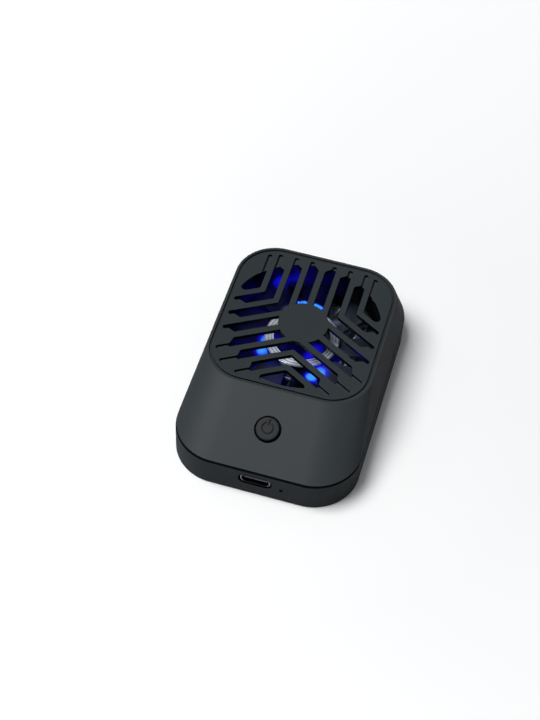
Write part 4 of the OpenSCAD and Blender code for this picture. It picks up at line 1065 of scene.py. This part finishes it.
def rotor():
    hub_top = trim_low.z
    middle_z = hub_top - BLADE_DROP
    inside_r = hub_r - HUB_WALL
    profile = [(SHAFT_R, hub_top)]
    profile += [(hub_r - inset, hub_top - HUB_EDGE + rise) for inset, rise in reversed(quarter(HUB_EDGE))]
    profile += [(hub_r, hub_low_z), (inside_r, hub_low_z), (inside_r, hub_top - HUB_CAP)]
    profile += [(HUB_BOSS_R, hub_top - HUB_CAP), (HUB_BOSS_R, hub_boss_z), (SHAFT_R, hub_boss_z)]
    turns = [Matrix.Rotation(2 * math.pi * i / BLADE_COUNT, 4, "Z") for i in range(BLADE_COUNT)]
    sheets = [(blade_sheet(), FAN @ turn @ at(0, 0, middle_z)) for turn in turns]
    obj = add_mesh("fan_rotor", sheets)
    solid = obj.modifiers.new("thickness", "SOLIDIFY")
    solid.thickness = BLADE_T * MM
    solid.offset = 0
    rounding = obj.modifiers.new("rounding", "BEVEL")
    rounding.width = BLADE_ROUND * MM
    rounding.segments = BLADE_ROUND_STEPS
    rounding.limit_method = "ANGLE"
    rounding.angle_limit = BLADE_CREASE
    apply_modifiers(obj)
    combine(obj, [(rod(inside_r + HUB_WALL / 2, hub_low_z - PAST, hub_top + PAST), FAN)])
    combine(obj, [(lathe(profile, closed=True), FAN)], "UNION")
    dress(obj, "rotor", smoke_look.material, slot_of["impeller"], "impeller")

    out_r, top = trim_high.x, trim_high.z
    rounded = [(inset, top - TRIM_EDGE + rise) for inset, rise in quarter(TRIM_EDGE)]
    ring = [(out_r, trim_low.z)] + [(out_r - inset, z) for inset, z in rounded]
    ring += [(out_r - TRIM_W + inset, z) for inset, z in reversed(rounded)] + [(out_r - TRIM_W, trim_low.z)]
    obj = add_mesh("hub_trim", [(lathe(ring, closed=True), FAN)])
    dress(obj, "rotor", trim_look.material, slot_of["hub_ring"], "hub_ring", sharp_deg=20)


# Underside: soft contact pad, and the housing screws with their cross slots

def contact_pad():
    radius = pad_high.x
    profile = [(0, pad_high.z), (radius, pad_high.z)]
    profile += [(radius - inset, pad_low.z + PAD_EDGE - rise) for inset, rise in quarter(PAD_EDGE)]
    profile += [(0, pad_low.z)]
    obj = add_mesh("contact_pad_soft", [(lathe(profile), FAN)])
    dress(obj, "housing", looks["silicone"].material, slot_of["contact_pad"], "contact_pad")


def case_screws():
    screws, crosses = [], []
    edge = HEAD_H / 2
    for low, high in solids_of("housing_screws"):
        middle = (low + high) / 2
        place = at(middle.x, middle.y, low.z)
        profile = [(0, 0)] + [(HEAD_R - inset, edge - rise) for inset, rise in reversed(quarter(edge))]
        profile += [(HEAD_R, HEAD_H), (SHANK_R, HEAD_H), (SHANK_R, high.z - low.z), (0, high.z - low.z)]
        screws.append((lathe(profile, steps=LATHE_STEPS // 2), place))
        width, length, depth = CROSS
        crosses.append((block((width, length, 2 * depth)), place))
        crosses.append((block((length, width, 2 * depth)), place))
    obj = add_mesh("case_screws", screws)
    combine(obj, crosses[0::2])
    combine(obj, crosses[1::2])
    dress(obj, "housing", looks["screw_steel"].material, slot_of["housing_screws"], "housing_screws")


base_shell()
upper_housing()
grille()
push_button()
socket()
rotor()
contact_pad()
case_screws()

# Finish of the pieces whose solids stay as they are
own_looks = {"fan_lights": lamp_look, "fan_board": board_look, "indicator_lens": lens_look}
own_looks.update((name, inner_shade_and_light_look) for name in ("heat_sink", "fan_frame", "fan_lead", "fan_screws"))
for name, obj in nodes.items():
    if not obj.hide_render:
        obj.data.materials.clear()
        look = own_looks.get(name, looks[slot_of[name]])
        obj.data.materials.append(look.material)


# Pale floor and soft studio light

FLOOR_HALF = 12000
FLOOR_GAP = 0.02
FLOOR_BOUNCE = (0.2, 0.21, 0.22)
FLOOR_LIFT = (0.04, 0.72)
FLOOR_FADE = (80, 900)
KEY_LIGHT = {"place": (-0.38, -0.16, 0.99), "size": (0.55, 0.55), "power": 11.6}
LEFT_LIGHT = {"place": (-0.85, 0.1, 0.45), "size": (0.4, 0.5), "power": 0.2}
SKY_COLOUR = (0.9, 0.95, 1.0, 1)
SKY_STRENGTH = 0.16


def floor():
    sheet = [(x * FLOOR_HALF, y * FLOOR_HALF, 0) for x, y in SIDES], [(0, 1, 2, 3)]
    obj = add_mesh("floor", [(sheet, at(0, 0, -FLOOR_GAP))])
    look = surface("floor", (0.93, 0.93, 0.93), 0.8, 2.0, 0.002, spread=0.01, patch_mm=300.0)
    path = look.node("LightPath")
    seen = path.outputs["Is Camera Ray"]
    for kind in ("Is Glossy Ray", "Is Transmission Ray"):
        either = look.node("Math", operation="MAXIMUM")
        look.link(seen, either.inputs[0])
        look.link(path.outputs[kind], either.inputs[1])
        seen = either.outputs["Value"]
    look.blend(look.between(seen, 1.0, 0.0, 0.0, 1.0), FLOOR_BOUNCE)
    look.set(Emission_Color=(1, 1, 1, 1))
    away = look.node("VectorMath", operation="LENGTH")
    look.link(look.node("NewGeometry").outputs["Position"], away.inputs[0])
    lift = look.node("Math", operation="MULTIPLY")
    fade = [radius * MM for radius in FLOOR_FADE]
    look.link(look.between(away.outputs["Value"], *FLOOR_LIFT, *fade), lift.inputs[0])
    look.link(seen, lift.inputs[1])
    look.link(lift.outputs["Value"], look.shader.inputs["Emission Strength"])
    obj.data.materials.append(look.material)


def softbox(name, place, size, power):
    """Area light in metres that faces the origin."""
    lamp = bpy.data.lights.new(name, "AREA")
    lamp.shape = "RECTANGLE"
    lamp.size, lamp.size_y = size
    lamp.energy = power
    obj = bpy.data.objects.new(name, lamp)
    obj.location = place
    obj.rotation_euler = (-Vector(place)).to_track_quat("-Z", "Y").to_euler()
    scene.collection.objects.link(obj)


floor()
softbox("key light", **KEY_LIGHT)
softbox("left light", **LEFT_LIGHT)

world = bpy.data.worlds.new("studio")
world.use_nodes = True
sky = world.node_tree.nodes["Background"]
sky.inputs["Color"].default_value = SKY_COLOUR
sky.inputs["Strength"].default_value = SKY_STRENGTH
scene.world = world
scene.view_settings.view_transform = "Standard"
